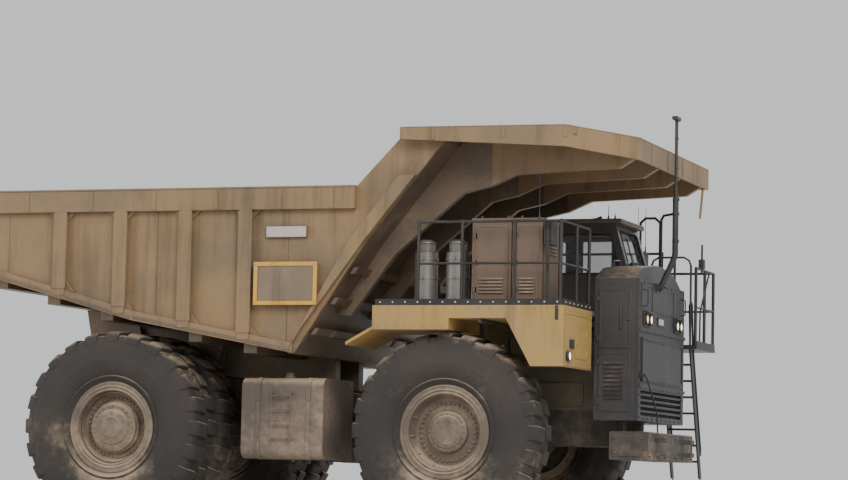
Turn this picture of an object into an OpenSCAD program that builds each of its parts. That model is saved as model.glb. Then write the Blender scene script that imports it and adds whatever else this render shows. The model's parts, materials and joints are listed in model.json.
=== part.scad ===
// Mining dump truck: rigid two-axle hauler with a tipping bed.
// Millimetres. Lengths along the truck are given from the rear axle, forward is +X, left is +Y.

/* [Chassis] */
// Distance between the rear and the front axle
wheelbase = 6350; // [6200:10:6500]
// How far the frame rails reach below the axles' height
rail_drop = 170; // [130:10:210]
// Depth of the rails under the hood
rail_depth = 650; // [620:10:680]
// How much higher the rails run over the rear axle
rear_rise = 650; // [620:10:680]
// Centre of each rail to the truck's middle
rail_y = 620; // [600:10:640]
// Width of a rail
rail_w = 240; // [200:10:260]
// Front end of the rails ahead of the front axle
rail_lead = 2600; // [2560:10:2640]
// Rearmost point of the frame behind the rear axle
rail_tail = 1850; // [1800:10:1900]
// Diameter of the frame's cross tubes
tube_d = 420; // [360:10:460]
// Underside of the strut cross box above the axles
strut_box_rise = 850; // [820:10:880]
// Height of the strut cross box
strut_box_h = 480; // [440:10:520]
// Length of the strut cross box along the truck
strut_box_l = 480; // [440:10:520]
// Front face of the bumper ahead of the front axle
bumper_lead = 3500; // [3450:10:3550]
// Half width of the bumper
bumper_half = 1650; // [1500:10:1750]
// Height of the bumper beam
bumper_h = 500; // [460:10:540]
// Depth of the towing lugs
tow_reach = 200; // [180:5:220]
// Diameter of the front towing pins
tow_pin_d = 90; // [80:5:100]
// Front towing pins to the truck's middle
tow_y = 900; // [860:10:940]
// Thickness of a towing lug
tow_t = 80; // [60:5:100]
// Diameter of the rear towing pin
rear_pin_d = 110; // [90:5:120]

/* [Wheels] */
// Diameter of every tyre over its lugs
tyre_d = 3540; // [3480:10:3550]
// Width of a tyre at its sidewalls
tyre_w = 1120; // [1060:10:1130]
// Width of a tyre's flat crown
crown_w = 820; // [780:10:860]
// Depth of a tyre's lugs
lug_depth = 70; // [50:5:80]
// Length of a lug bar round the tyre
lug_len = 250; // [210:10:270]
// Diameter of the tyre's seat on the rim
seat_d = 1450; // [1400:10:1480]
// Diameter of the rim's flange
flange_d = 1660; // [1600:10:1700]
// Width of the rim
rim_w = 800; // [760:10:840]
// Middle of a front tyre to the truck's middle
front_track_half = 2790; // [2780:10:2800]
// Middle of the inner rear tyre to the truck's middle
inner_rear_y = 1830; // [1820:10:1840]
// Middle of the outer rear tyre to the truck's middle
outer_rear_y = 3100; // [3090:10:3110]
// Diameter of the rear spindle that carries the twin wheels
rear_spindle_d = 1000; // [900:10:1040]
// Diameter of the rear axle's housing
housing_d = 980; // [900:10:1020]
// Diameter of the front spindle
front_spindle_d = 520; // [460:10:560]
// Running gap round a spindle, pin or rod
run_gap = 0.3; // [0.2:0.1:0.6]
// Gap between pieces that seat on each other
seat_gap = 0.3; // [0.1:0.1:0.8]

/* [Steering] */
// Kingpin to the truck's middle
kingpin_y = 1900; // [1890:5:1910]
// Length of the steering arm to the tie rod's eye
arm_r = 600; // [590:5:620]
// Length of the steering arm to the cylinder's eye
cyl_arm_r = 360; // [350:5:370]
// How far behind the cylinder's eye its frame pin lies
cyl_back = 300; // [290:5:310]
// How far inboard of the kingpin the frame pin lies
cyl_in = 980; // [970:5:990]
// Diameter of the suspension strut
strut_d = 430; // [380:10:460]
// Diameter of a rear strut
rear_strut_d = 300; // [260:10:340]
// Thickness of the steering arm
arm_t = 120; // [100:5:140]
// Width of the steering arm
arm_w = 220; // [200:5:240]
// Underside of the steering arm below the axles
arm_drop = 350; // [330:5:370]
// Lower end of the knuckle below the axles
knuckle_drop = 390; // [370:5:400]
// Upper end of the knuckle above the axles
knuckle_rise = 480; // [460:5:500]
// Height of an eye on the steering linkage
eye_h = 160; // [156:2:170]
// Height between a steering eye and the arm
eye_gap = 10; // [6:1:14]
// Diameter of a cylinder's eye
cyl_eye_d = 180; // [160:5:200]
// Diameter of the steering pins
steer_pin_d = 80; // [70:2:90]
// Diameter of the tie rod
tie_rod_d = 110; // [90:5:130]
// Diameter of the steering cylinder
steer_tube_d = 150; // [130:5:154]
// Length of the steering cylinder
steer_tube_l = 610; // [590:5:630]

/* [Bed] */
// Bed hinge behind the rear axle
hinge_back = 1450; // [1440:5:1460]
// Height of the bed hinge above the axles
hinge_rise = 1280; // [1270:5:1290]
// Diameter of the bed's hinge pin
hinge_pin_d = 180; // [150:5:200]
// Outer half width of the bed over its ribs
bed_half = 3450; // [3400:10:3480]
// Thickness of the bed's plates
plate_t = 60; // [40:5:80]
// Thickness of the bed's floor
floor_t = 120; // [100:5:140]
// Depth of the ribs on the sides
side_rib = 120; // [80:5:140]
// Width of a rib
rib_w = 220; // [180:10:260]
// Tail end of the bed behind the rear axle
bed_tail = 3900; // [3850:10:3950]
// Height from the tyres to the bed's lower edge at its kink
tyre_room = 200; // [180:5:220]
// Where the floor changes its slope
kink_x = 290; // [250:10:330]
// How much the floor climbs from there to the tail
floor_rise = 1160; // [1140:10:1180]
// Front end of the floor behind the front axle
nose_back = 2850; // [2830:5:2870]
// How much the floor falls from the kink to its front end
nose_drop = 590; // [570:5:610]
// Height of the side over the lower edge at the kink
side_h = 2430; // [2410:10:2450]
// Depth of the side rail
bed_rail_h = 420; // [380:10:440]
// Front end of the side rail ahead of the floor
bed_rail_lead = 1160; // [1120:10:1200]
// How far the front wall leans forward up to its bend
lean_low = 1360; // [1340:10:1380]
// Height of that bend above the floor's front end
bend_h = 2040; // [2020:10:2060]
// How far the front wall leans forward above its bend
lean_high = 1440; // [1420:10:1460]
// Height of the front wall above its bend
wall_h = 1760; // [1740:10:1770]
// Depth of the front wall's plate along the truck
wall_t = 150; // [130:5:170]
// Half width of the canopy
canopy_half = 3600; // [3560:10:3640]
// Front edge of the canopy ahead of the front axle
canopy_lead = 3340; // [3300:10:3350]
// Where the canopy's sides end, ahead of the front axle
corner_lead = 2270; // [2230:10:2310]
// Rear end of the canopy behind the front axle
canopy_back = 800; // [780:10:820]
// Height of the canopy above the side rail
canopy_rise = 1000; // [980:10:1020]
// How much the canopy falls to its front edge
canopy_fall = 140; // [120:10:160]
// Half width of the canopy's front edge
front_corner_half = 2550; // [2510:10:2590]
// Depth of the canopy's front lip
lip_h = 400; // [360:10:420]
// Width of a stiffener under the canopy
stiffener_w = 140; // [120:10:160]
// Half length of the cross bolsters
bolster_half = 3200; // [3160:10:3240]
// Width of a cross bolster
bolster_w = 260; // [220:10:300]
// Depth of a cross bolster below the floor
bolster_h = 160; // [140:5:180]
// Height between the frame rails and the bed's beams
beam_gap = 35; // [25:5:45]

/* [Hoist] */
// Hoist pins ahead of the rear axle
hoist_x = 900; // [890:5:910]
// Lower hoist pin below the axles
hoist_drop = 320; // [310:5:330]
// Distance between the hoist pins at rest
hoist_len = 1550; // [1540:5:1560]
// Hoist cylinders to the truck's middle
hoist_y = 985; // [980:1:990]
// Diameter of the outer hoist tube
hoist_d = 330; // [300:5:340]
// Diameter of the middle stage
stage_d = 250; // [230:5:260]
// Diameter of the inner rod
hoist_rod_d = 180; // [160:5:190]
// Diameter of a hoist pin
hoist_pin_d = 110; // [90:5:120]
// Diameter of a hoist cylinder's lower eye
hoist_foot_d = 260; // [240:5:280]
// Diameter of a hoist rod's eye
hoist_eye_d = 220; // [200:5:240]
// Half width of a hoist cylinder's eyes
hoist_eye_half = 80; // [70:5:85]
// Length of a hoist stage's bore
stage_len = 1240; // [1220:5:1260]
// Thickness of a hoist bracket's plate
bracket_t = 30; // [25:5:40]
// Sideways room between a hoist rod and its bracket
bracket_gap = 10; // [6:1:14]
// Reach of a hoist bracket round its pin
bracket_r = 170; // [150:5:190]

/* [Deck and fenders] */
// Height between a tyre and its fender
tyre_clear = 30; // [25:5:40]
// Depth of the fender's edge over the tyre
fender_band = 430; // [400:5:440]
// Depth of the fender's edge ahead of the tyre
front_band = 230; // [210:5:250]
// Half width over the fenders
fender_half = 3500; // [3460:10:3520]
// Inner edge of the fenders
fender_in = 1740; // [1700:10:1760]
// Rear end of the fenders behind the front axle
fender_back = 1290; // [1270:5:1310]
// Rear end of the deck behind the front axle
deck_back = 1140; // [1120:5:1150]
// Front face of the fenders ahead of the front axle
deck_lead = 2270; // [2250:5:2290]
// Thickness of the deck
deck_t = 80; // [60:5:100]
// Lower edge of the fender's front below the deck
skirt_drop = 1070; // [1040:5:1100]
// Thickness of fender sheets
sheet_t = 60; // [40:5:80]
// Length of the flare behind the fender
flare_l = 510; // [480:10:540]
// How much the flare falls
flare_fall = 280; // [260:10:300]
// Height of the handrails above the deck
rail_h = 1480; // [1400:10:1500]
// Diameter of the handrail tube
rail_d = 50; // [40:2:60]
// Rear end of the handrails behind the front axle
rail_back = 450; // [430:10:470]
// Inset of the handrails from the deck's edge
rail_inset = 40; // [35:1:60]
// Height of the tall hoop beside the cab door
hoop_h = 2170; // [2140:10:2200]
// Width of the tall hoop
hoop_w = 400; // [370:10:430]
// Distance of the tall hoop's rear leg behind the deck's front
hoop_back = 480; // [460:5:500]
// Height of the deck's cabinet
cabinet_h = 1550; // [1500:10:1600]
// Depth of the cabinet across the truck
cabinet_w = 1000; // [960:10:1040]
// Rear end of the cabinet ahead of the front axle
cabinet_lead = 450; // [430:10:470]
// Width of the cabinet's rear body along the truck
cabinet_l1 = 730; // [700:10:760]
// Width of the cabinet's front body along the truck
cabinet_l2 = 550; // [520:10:580]
// Gap between the cabinet's two bodies
cabinet_gap = 20; // [10:5:30]
// Diameter of an air cleaner
cleaner_d = 420; // [380:10:460]
// Height of an air cleaner
cleaner_h = 1000; // [950:10:1050]
// Distance between the air cleaners
cleaner_pitch = 600; // [560:10:640]
// Air cleaners to the truck's middle
cleaner_y = 2600; // [2560:10:2640]

/* [Landing] */
// Floor of the front landing below the deck
landing_drop = 480; // [460:5:500]
// Length of the landing along the truck
landing_l = 1000; // [980:5:1020]
// Inner end of the landing
landing_y0 = 1960; // [1940:5:1980]
// Outer end of the landing
landing_y1 = 3440; // [3420:5:3460]
// Height of the landing's rails
landing_rail_h = 1500; // [1460:10:1540]
// Height of the landing's grab hoop
grab_h = 2670; // [2640:10:2700]
// Width of the landing's grab hoop
grab_w = 280; // [260:10:300]
// Width of the ladder
ladder_w = 580; // [560:5:600]
// How far the ladder stands back from the landing's front edge
ladder_inset = 150; // [130:5:170]
// Lowest step of the ladder above the ground
ladder_low = 1060; // [1040:10:1080]
// How far outward the ladder slants
ladder_run = 900; // [880:10:920]
// Number of steps
ladder_steps = 7; // [6:1:8]
// Gap behind the landing
landing_gap = 20; // [15:1:25]

/* [Hood] */
// Half width of the radiator housing
hood_half = 1630; // [1600:10:1650]
// Front face of the radiator housing ahead of the front axle
hood_lead = 3150; // [3130:5:3170]
// Height of the hood's crown above the deck
crown_h = 940; // [900:10:960]
// Height of the hood's shoulders above the deck
shoulder_h = 610; // [580:10:640]
// Lower edge of the radiator housing below the rails' top
hood_below = 200; // [180:10:220]
// Depth of the grille's frame
grille_t = 70; // [60:2:80]
// Thickness of the radiator housing's walls
hood_wall = 200; // [180:10:220]
// Width of the grille frame's border
grille_border = 160; // [140:10:180]
// Height of the openings above and below the number panel
louvre_h = 450; // [430:10:470]
// Height of a grille bar
bar_h = 40; // [30:2:50]
// Half width of the number panel
panel_half = 1460; // [1420:10:1480]
// Height of the number panel
panel_h = 800; // [780:10:820]
// Height of the lamps above the blank panel
panel_below = 330; // [310:5:350]
// Diameter of a head lamp
lamp_d = 190; // [170:5:200]
// Length of a head lamp
lamp_l = 60; // [50:2:70]
// Inner head lamps to the truck's middle
lamp_y1 = 960; // [940:5:980]
// Outer head lamps to the truck's middle
lamp_y2 = 1230; // [1210:5:1250]
// Head lamps below the deck
lamp_drop = 110; // [100:5:120]
// Low lamps to the truck's middle
low_lamp_y = 3260; // [3240:5:3280]

/* [Cab] */
// Right wall of the cab
cab_y0 = 950; // [940:5:960]
// Width of the cab
cab_w = 1600; // [1580:10:1620]
// Rear wall of the cab ahead of the front axle
cab_lead = 600; // [590:5:610]
// Length of the cab at its floor
cab_l = 1610; // [1590:5:1630]
// How far the windshield leans back
screen_lean = 280; // [260:5:300]
// Height of the windshield's lower edge above the deck
sill_h = 880; // [860:5:900]
// Height of the cab above the deck
cab_h = 1930; // [1910:5:1950]
// Thickness of the cab's walls
cab_t = 80; // [70:5:90]
// Thickness of the cab's floor
cab_floor_t = 100; // [90:5:110]
// Overhang of the roof at the sides
roof_over = 40; // [30:5:50]
// Overhang of the roof in front
visor = 120; // [100:5:140]
// Thickness of the glass
glass_t = 12; // [10:1:16]
// Depth of the glass in its opening
glass_in = 34; // [30:1:40]
// Lower edge of the side windows above the deck
window_low = 900; // [890:5:920]
// Height of the side windows
window_h = 750; // [730:10:770]
// Border beside the windshield
screen_border = 180; // [160:10:200]
// Width of the door
door_w = 800; // [780:10:810]
// Door's rear edge ahead of the cab's rear wall
door_lead = 130; // [120:5:140]
// Gap between the door and its opening
door_gap = 6; // [5:1:8]
// Width of the door's frame
door_border = 100; // [90:5:120]
// Door's upper edge below the roof's underside
door_top_gap = 110; // [100:5:130]
// Distance of the hinge's axis from the wall
hinge_off = 24; // [22:1:30]
// Diameter of a door hinge
door_hinge_d = 40; // [36:1:44]
// Height of a hinge knuckle
door_hinge_h = 80; // [70:5:90]
// Width of the seat
seat_w = 550; // [530:10:570]
// Height of the seat above the cab's floor
seat_h = 460; // [440:10:480]
// Diameter of the steering wheel's ring
wheel_d = 420; // [400:10:440]

/* [Tanks] */
// Room between the rear tyre and the tank
tank_rear_room = 580; // [560:5:600]
// Room between the front tyre and the tank, for steering
tank_front_room = 630; // [620:5:650]
// Top of the side tanks above the axles
tank_rise = 950; // [930:5:970]
// Height of the side tanks
tank_h = 1470; // [1440:5:1500]
// Outer face of the side tanks
tank_out = 2950; // [2930:5:2970]
// Inner face of the side tanks
tank_in = 1450; // [1430:5:1470]
// Radius of the tanks' outer edges
tank_r = 180; // [150:10:200]

/* [Mast and mirrors] */
// Mast to the truck's middle, towards the right
mast_y = 400; // [380:10:420]
// Height of the mast's top above the canopy
mast_over = 500; // [480:10:520]
// Diameter of the mast
mast_d = 60; // [50:2:70]
// Diameter of the curved arm that carries the mast
mast_arm_d = 110; // [90:5:120]
// Height of the arm's top above the deck
mast_arm_h = 2150; // [2100:10:2200]
// Diameter of a mirror's post
mirror_post_d = 60; // [50:2:70]
// Height of the mirrors' posts
mirror_post_h = 1480; // [1440:10:1520]
// Height of a mirror
mirror_h = 400; // [380:10:420]
// Width of a mirror
mirror_w = 360; // [340:10:380]
// Depth of a mirror's housing
mirror_t = 120; // [100:5:130]
// Mirrors' posts to the truck's middle
mirror_y = 3300; // [3280:5:3320]
// Mirrors' posts behind the fender's front face
mirror_back = 370; // [350:10:390]

/* [Hidden] */
$fn = 48;
lug_count = 24;
axle_z = tyre_d / 2;
x_shift = (bed_tail - bumper_lead - wheelbase) / 2;
rail_in = rail_y - rail_w / 2;
rail_out = rail_y + rail_w / 2;
rail_bottom = axle_z - rail_drop;
rail_top = rail_bottom + rail_depth;
rail_front = wheelbase + rail_lead;
strut_box_z = axle_z + strut_box_rise;
strut_box_top = strut_box_z + strut_box_h;
bumper_front = wheelbase + bumper_lead;
bumper_low = axle_z - rail_drop - 250;
arm_z = axle_z - arm_drop;
knuckle_top = axle_z + knuckle_rise;
tie_z = arm_z - eye_h / 2 - eye_gap;
cyl_z = arm_z + arm_t + eye_h / 2 + eye_gap;
steer_frame_x = wheelbase - cyl_arm_r - cyl_back;
hinge_z = axle_z + hinge_rise;
bed_inner = bed_half - side_rib - plate_t;
kink_z = tyre_d + tyre_room;
tail_z = kink_z + floor_rise;
nose_x = wheelbase - nose_back;
nose_z = kink_z - nose_drop;
bend_x = nose_x + lean_low;
bend_z = nose_z + bend_h;
wall_x = bend_x + lean_high;
wall_z = bend_z + wall_h;
bed_rail_top = kink_z + side_h;
canopy_z = bed_rail_top + canopy_rise;
canopy_front = wheelbase + canopy_lead;
canopy_corner = wheelbase + corner_lead;
canopy_rear = wheelbase - canopy_back;
hoist_low_z = axle_z - hoist_drop;
hoist_high_z = hoist_low_z + hoist_len;
fender_low = tyre_d + tyre_clear;
deck_z = fender_low + fender_band;
fender_rear = wheelbase - fender_back;
deck_rear = wheelbase - deck_back;
deck_front = wheelbase + deck_lead;
skirt_z = deck_z - skirt_drop;
hood_front = wheelbase + hood_lead;
hood_top = deck_z + crown_h;
hood_shoulder = deck_z + shoulder_h;
hood_low = rail_top - hood_below;
hood_rear = deck_front + landing_gap;
grille_x = hood_front - 100 + seat_gap;
cab_x0 = wheelbase + cab_lead;
cab_x1 = cab_x0 + cab_l;
cab_x2 = cab_x1 - screen_lean;
cab_y1 = cab_y0 + cab_w;
cab_floor_z = deck_z + cab_floor_t;
cab_sill = deck_z + sill_h;
cab_roof_z = deck_z + cab_h;
cab_top = cab_roof_z - cab_t - seat_gap;
door_x0 = cab_x0 + door_lead;
door_x1 = door_x0 + door_w;
door_z0 = deck_z + cab_floor_t + 60;
door_z1 = cab_roof_z - cab_t - door_top_gap;
window_z0 = deck_z + window_low;
window_z1 = window_z0 + window_h;
tank_x0 = axle_z + tank_rear_room;
tank_x1 = wheelbase - axle_z - tank_front_room;
tank_top = axle_z + tank_rise;
tank_bottom = tank_top - tank_h;

// Moves what is drawn from the rear axle to the part's own frame.
module placed() translate([x_shift, 0, 0]) children();

// Mirrors the left-hand form to the right where side is -1.
module sided(side) {
  if (side < 0) mirror([0, 1, 0]) children();
  else children();
}

// An outline in the truck's side view, extruded from y0 to y1.
module profile_xz(points, y0, y1) {
  translate([0, y1, 0]) rotate([90, 0, 0]) linear_extrude(y1 - y0) polygon(points);
}

// A plan outline extruded from z0 to z1.
module profile_xy(points, z0, z1) {
  translate([0, 0, z0]) linear_extrude(z1 - z0) polygon(points);
}

// A front view outline extruded from x0 to x1.
module profile_yz(points, x0, x1) {
  translate([x0, 0, 0]) rotate([90, 0, 90]) linear_extrude(x1 - x0) polygon(points);
}

// A block between two corners.
module block(a, b) translate(a) cube([b[0] - a[0], b[1] - a[1], b[2] - a[2]]);

// A round bar from p to q.
module bar(p, q, d) {
  v = q - p;
  translate(p) rotate([0, acos(v[2] / norm(v)), atan2(v[1], v[0])]) cylinder(d = d, h = norm(v), $fn = 24);
}

// A round bar along a path, with a ball at each bend.
module bent_bar(path, d) {
  for (i = [1:len(path) - 1]) bar(path[i - 1], path[i], d);
  for (i = [1:len(path) - 2]) translate(path[i]) sphere(d = d + 4, $fn = 24);
}

// A cylinder along Y from y0 to y1.
module rod_y(x, z, d, y0, y1, fn = 48) {
  translate([x, y1, z]) rotate([90, 0, 0]) cylinder(d = d, h = y1 - y0, $fn = fn);
}

// An upright cylinder from z0 to z1.
module post(x, y, d, z0, z1) translate([x, y, z0]) cylinder(d = d, h = z1 - z0);

// A disc lying across the truck's length from x0 to x1.
module rod_x(y, z, d, x0, x1) translate([x0, y, z]) rotate([0, 90, 0]) cylinder(d = d, h = x1 - x0);

function raised(points, dz) = [for (p = points) [p[0], p[1] + dz]];
function pushed(points, dx) = [for (p = points) [p[0] + dx, p[1]]];
function reversed(points) = [for (i = [len(points) - 1:-1:0]) points[i]];

// Points of the frame rails' upper edge over the rear axle: place and share of the rise.
climb_x = wheelbase - nose_back + 100;
rail_climb = [[climb_x, 0.46], [600, 0.92], [-900, 1]];
function rail_edge(x) = rail_top + rear_rise * lookup(x, rail_climb);
rail_line = concat(
  [[rail_front, rail_bottom], [rail_front, rail_top], [climb_x + 1400, rail_top]],
  [for (p = rail_climb) [p[0], rail_edge(p[0])]],
  [[-rail_tail, rail_edge(-900) - 50], [-rail_tail, rail_top + 310], [-800, rail_top + 250],
    [620, rail_top + 200], [1250, rail_bottom]]);

// The bed's lower edge at any place along it.
function floor_at(x) = x < kink_x ? kink_z + (kink_x - x) * floor_rise / (kink_x + bed_tail)
  : kink_z - (x - kink_x) * nose_drop / (nose_x - kink_x);

// Frame: rails, cross tubes, strut towers, hoist brackets and hinge ears.
module hinge_ear(side) sided(side) difference() {
  profile_xz([[-rail_tail, rail_edge(-900) - 200], [-hinge_back - 190, hinge_z],
    [-hinge_back - 120, hinge_z + 190],
    [-hinge_back + 120, hinge_z + 190], [-hinge_back + 200, hinge_z], [-900, rail_edge(-900) - 100]],
    rail_in, rail_out);
  rod_y(-hinge_back, hinge_z, hinge_pin_d, rail_in - 10, rail_out + 10);
}

// Bracket and pin for a hoist cylinder's foot.
module hoist_foot_bracket() {
  profile_xz([[hoist_x + 600, hoist_low_z + 450], [hoist_x + 600, hoist_low_z + bracket_r],
    [hoist_x + 180, hoist_low_z - bracket_r], [hoist_x - bracket_r, hoist_low_z - bracket_r],
    [hoist_x - bracket_r, hoist_low_z + bracket_r], [hoist_x + 150, hoist_low_z + 450]], rail_in, rail_out);
  rod_y(hoist_x, hoist_low_z, hoist_pin_d, rail_out - 60, hoist_y + hoist_eye_half + 15);
}

// Bracket and pin for a steering cylinder.
module steer_bracket() {
  pin_y = kingpin_y - cyl_in;
  seat = cyl_z + eye_h / 2 + run_gap;
  block([steer_frame_x - 130, rail_out - 20, seat], [steer_frame_x + 130, pin_y + 100, seat + 90]);
  post(steer_frame_x, pin_y, steer_pin_d, cyl_z - eye_h / 2, seat + 60);
}

module frame() color("dimgray") placed() difference() {
  union() {
    for (side = [-1, 1]) {
      sided(side) profile_xz(rail_line, rail_in, rail_out);
      hinge_ear(side);
      sided(side) hoist_foot_bracket();
      // Strut towers.
      sided(side) block([wheelbase - strut_box_l / 2, rail_out - 20, strut_box_z],
        [wheelbase + strut_box_l / 2, kingpin_y + 200, strut_box_top]);
      sided(side) block([wheelbase - strut_box_l / 2, rail_in, rail_top - 50],
        [wheelbase + strut_box_l / 2, rail_out, strut_box_top]);
      sided(side) steer_bracket();
      // Tank hangers.
      for (x = [tank_x0 + 300, tank_x1 - 460])
        sided(side) block([x, rail_out - 20, rail_bottom + 300],
          [x + 160, tank_in - seat_gap, rail_bottom + 500]);
      // Upper seat of the rear strut.
      sided(side) block([-1300, rail_in, rail_top + 200], [-900, rail_out, rail_edge(-900) - 200]);
    }
    for (x = [climb_x - 300, climb_x + 1100])
      rod_y(x, rail_bottom + 300, tube_d, -rail_in - 10, rail_in + 10);
    rod_y(150 - rail_tail, rail_edge(-900) - 220, 240, -rail_in - 10, rail_in + 10);
    block([wheelbase - strut_box_l / 2, -rail_in - 10, strut_box_z],
      [wheelbase + strut_box_l / 2, rail_in + 10, strut_box_top]);
    // Rear drawbar plate.
    block([-rail_tail - 180, -200, rail_top + 350], [150 - rail_tail, 200, rail_top + 450]);
  }
  post(-rail_tail - 60, 0, rear_pin_d, rail_top + 250, rail_top + 550);
}

module bumper() color("#4a4540") placed() difference() {
  union() {
    block([rail_front + seat_gap, -bumper_half, bumper_low],
      [bumper_front - tow_reach, bumper_half, bumper_low + bumper_h]);
    // Towing lugs in pairs, for an upright pin.
    for (y = [-tow_y, tow_y], z = [bumper_low + bumper_h / 2 - 80 - tow_t, bumper_low + bumper_h / 2 + 80])
      block([bumper_front - tow_reach - 10, y - tow_pin_d - 40, z],
        [bumper_front, y + tow_pin_d + 40, z + tow_t]);
  }
  for (y = [-tow_y, tow_y])
    post(bumper_front - tow_pin_d, y, tow_pin_d, bumper_low, bumper_low + bumper_h);
}

module rear_axle() color("dimgray") placed() {
  rod_y(0, axle_z, housing_d, -inner_rear_y + 650, inner_rear_y - 650);
  for (side = [-1, 1]) sided(side) {
    rod_y(0, axle_z, rear_spindle_d, inner_rear_y - 730, outer_rear_y);
    // Ears for the rear struts.
    block([-1240, rail_in + 60, axle_z - 270], [-360, rail_out - 40, axle_z - 10]);
  }
  // Nose that reaches forward to the frame.
  profile_xz([[300, axle_z - 420], [300, axle_z + 330], [2000, axle_z + 130],
    [2000, axle_z - 170]], -260, 260);
  rod_y(2050, axle_z - 20, 380, -rail_in + seat_gap, rail_in - seat_gap);
}

// Front struts above the knuckles, rear struts behind the axle.
module struts() color("silver") placed() for (side = [-1, 1]) sided(side) {
  post(wheelbase, kingpin_y, strut_d, knuckle_top + run_gap, strut_box_z - seat_gap);
  post(-1100, rail_y + 10, rear_strut_d, axle_z - 10 + seat_gap, rail_top + 200 - seat_gap);
}

module engine_block() color("#77705f") placed()
  block([wheelbase + 300, -rail_out, rail_top + seat_gap], [cab_x1 - 60, rail_out, deck_z - 300]);

module hood() color("#3c3a38") placed() difference() {
  profile_yz([[-hood_half, hood_low], [hood_half, hood_low], [hood_half, hood_shoulder],
    [hood_half - 500, hood_top - 110], [250, hood_top], [-250, hood_top],
    [-hood_half + 500, hood_top - 110], [-hood_half, hood_shoulder]], hood_rear, grille_x - seat_gap);
  // Room for the radiator core, open to the front.
  block([hood_rear + 260, -hood_half + hood_wall, hood_low + 150],
    [hood_front, hood_half - hood_wall, hood_shoulder - hood_wall]);
  // The rails pass below and through.
  for (side = [-1, 1]) sided(side)
    block([hood_rear - 40, rail_in - 5, hood_low - 10], [rail_front + 5, rail_out + 5, rail_top + 1]);
}

// Grille frame with bars in two openings and a blank number panel between its ledges.
module radiator_grille() color("#35322f") placed() {
  openings = [hood_low + 100, hood_shoulder - 110 - louvre_h];
  difference() {
    block([grille_x, -hood_half, hood_low], [grille_x + grille_t, hood_half, hood_shoulder - 10]);
    for (z = openings)
      block([grille_x - 5, -hood_half + grille_border, z],
        [grille_x + grille_t + 5, hood_half - grille_border, z + louvre_h]);
  }
  for (z = openings, i = [0:3])
    block([grille_x + 10, -hood_half + grille_border - 10, z + 60 + i * 100],
      [grille_x + grille_t - 10, hood_half - grille_border + 10, z + 60 + i * 100 + bar_h]);
  front = grille_x + grille_t;
  panel_z = deck_z - lamp_drop - panel_below - panel_h;
  for (z = [panel_z - 120, panel_z + panel_h + 100])
    block([front - 10, -hood_half, z], [front + 30, hood_half, z + 55]);
  block([front - 10, -panel_half, panel_z], [front + 20, panel_half, panel_z + panel_h]);
  // Small blank plate between the lamps.
  block([front - 10, -350, deck_z - lamp_drop - 70], [front + 12, 90, deck_z - lamp_drop + 90]);
}

module lamps() color("#fff2cc") placed() {
  front = grille_x + grille_t + seat_gap;
  for (y = [-lamp_y2, -lamp_y1, lamp_y1, lamp_y2])
    rod_x(y, deck_z - lamp_drop, lamp_d, front, front + lamp_l);
  for (y = [-low_lamp_y, low_lamp_y])
    rod_x(y, skirt_z + 190, lamp_d, deck_front + seat_gap, deck_front + lamp_l);
}

// Fender: top box over the tyre, outer skirt, front sheet and flare behind.
module fender() {
  front_low = deck_z - front_band;
  block([fender_rear, fender_in, fender_low], [wheelbase + 150, fender_half, deck_z]);
  block([wheelbase + 140, fender_in, front_low], [deck_front, fender_half, deck_z]);
  profile_xz([[fender_rear - flare_l + 10, fender_low - flare_fall], [fender_rear + 10, fender_low],
    [fender_rear + 10, fender_low + sheet_t], [fender_rear - flare_l + 10,
      fender_low - flare_fall + sheet_t]],
    fender_in + 200, fender_half);
  profile_xz([[deck_front - skirt_drop, front_low + 10], [deck_front - 600, skirt_z], [deck_front, skirt_z],
    [deck_front, front_low + 10]], fender_half - sheet_t, fender_half);
  block([deck_front - sheet_t, fender_in, skirt_z], [deck_front, fender_half, front_low + 10]);
}
module fender_left() color("#9c7a45") placed() fender();
module fender_right() color("#9c7a45") placed() sided(-1) fender();

module deck() color("#5b5348") placed() {
  block([deck_rear, -fender_in + seat_gap, deck_z - deck_t], [hood_rear - seat_gap,
    fender_in - seat_gap, deck_z]);
  // Legs down to the strut cross box.
  for (side = [-1, 1]) sided(side)
    block([wheelbase - strut_box_l / 4, 1200, strut_box_top + seat_gap],
      [wheelbase + strut_box_l / 4, 1400, deck_z - deck_t + 10]);
}

// A straight run of rail with a middle rail and posts at the listed places along it.
module railing(p, q, posts, h) {
  bar(p + [0, 0, h], q + [0, 0, h], rail_d);
  bar(p + [0, 0, h / 2], q + [0, 0, h / 2], rail_d - 8);
  for (s = posts) bar(p + (q - p) * s, p + (q - p) * s + [0, 0, h + 4], rail_d + 10);
}

module handrail(inner) {
  x0 = wheelbase - rail_back;
  x1 = deck_front - 2 * rail_inset;
  y = fender_half - rail_inset;
  railing([x0, y, 0], [x1, y, 0], [0, 0.31, 0.68, 1], rail_h);
  if (inner > 0) railing([x0, y, 0], [x0, inner, 0], [0.5, 1], rail_h);
  if (inner < 0) railing([x1, y, 0], [x1, -inner, 0], [0.55, 1], rail_h);
}
module handrail_right() color("#2e2b28") placed() translate([0, 0, deck_z + seat_gap])
  sided(-1) handrail(-hood_half - 60);
module handrail_left() color("#2e2b28") placed() translate([0, 0, deck_z + seat_gap]) {
  handrail(fender_in);
  // Tall hoop beside the cab door, with rounded corners.
  hoop_x = deck_front - hoop_back;
  side_h = hoop_h - 90;
  bent_bar([[hoop_x, mirror_y, 0], [hoop_x, mirror_y, side_h], [hoop_x + 100, mirror_y, hoop_h],
    [hoop_x + hoop_w - 100, mirror_y, hoop_h], [hoop_x + hoop_w, mirror_y, side_h],
    [hoop_x + hoop_w, mirror_y, 0]], rail_d);
}

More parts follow.
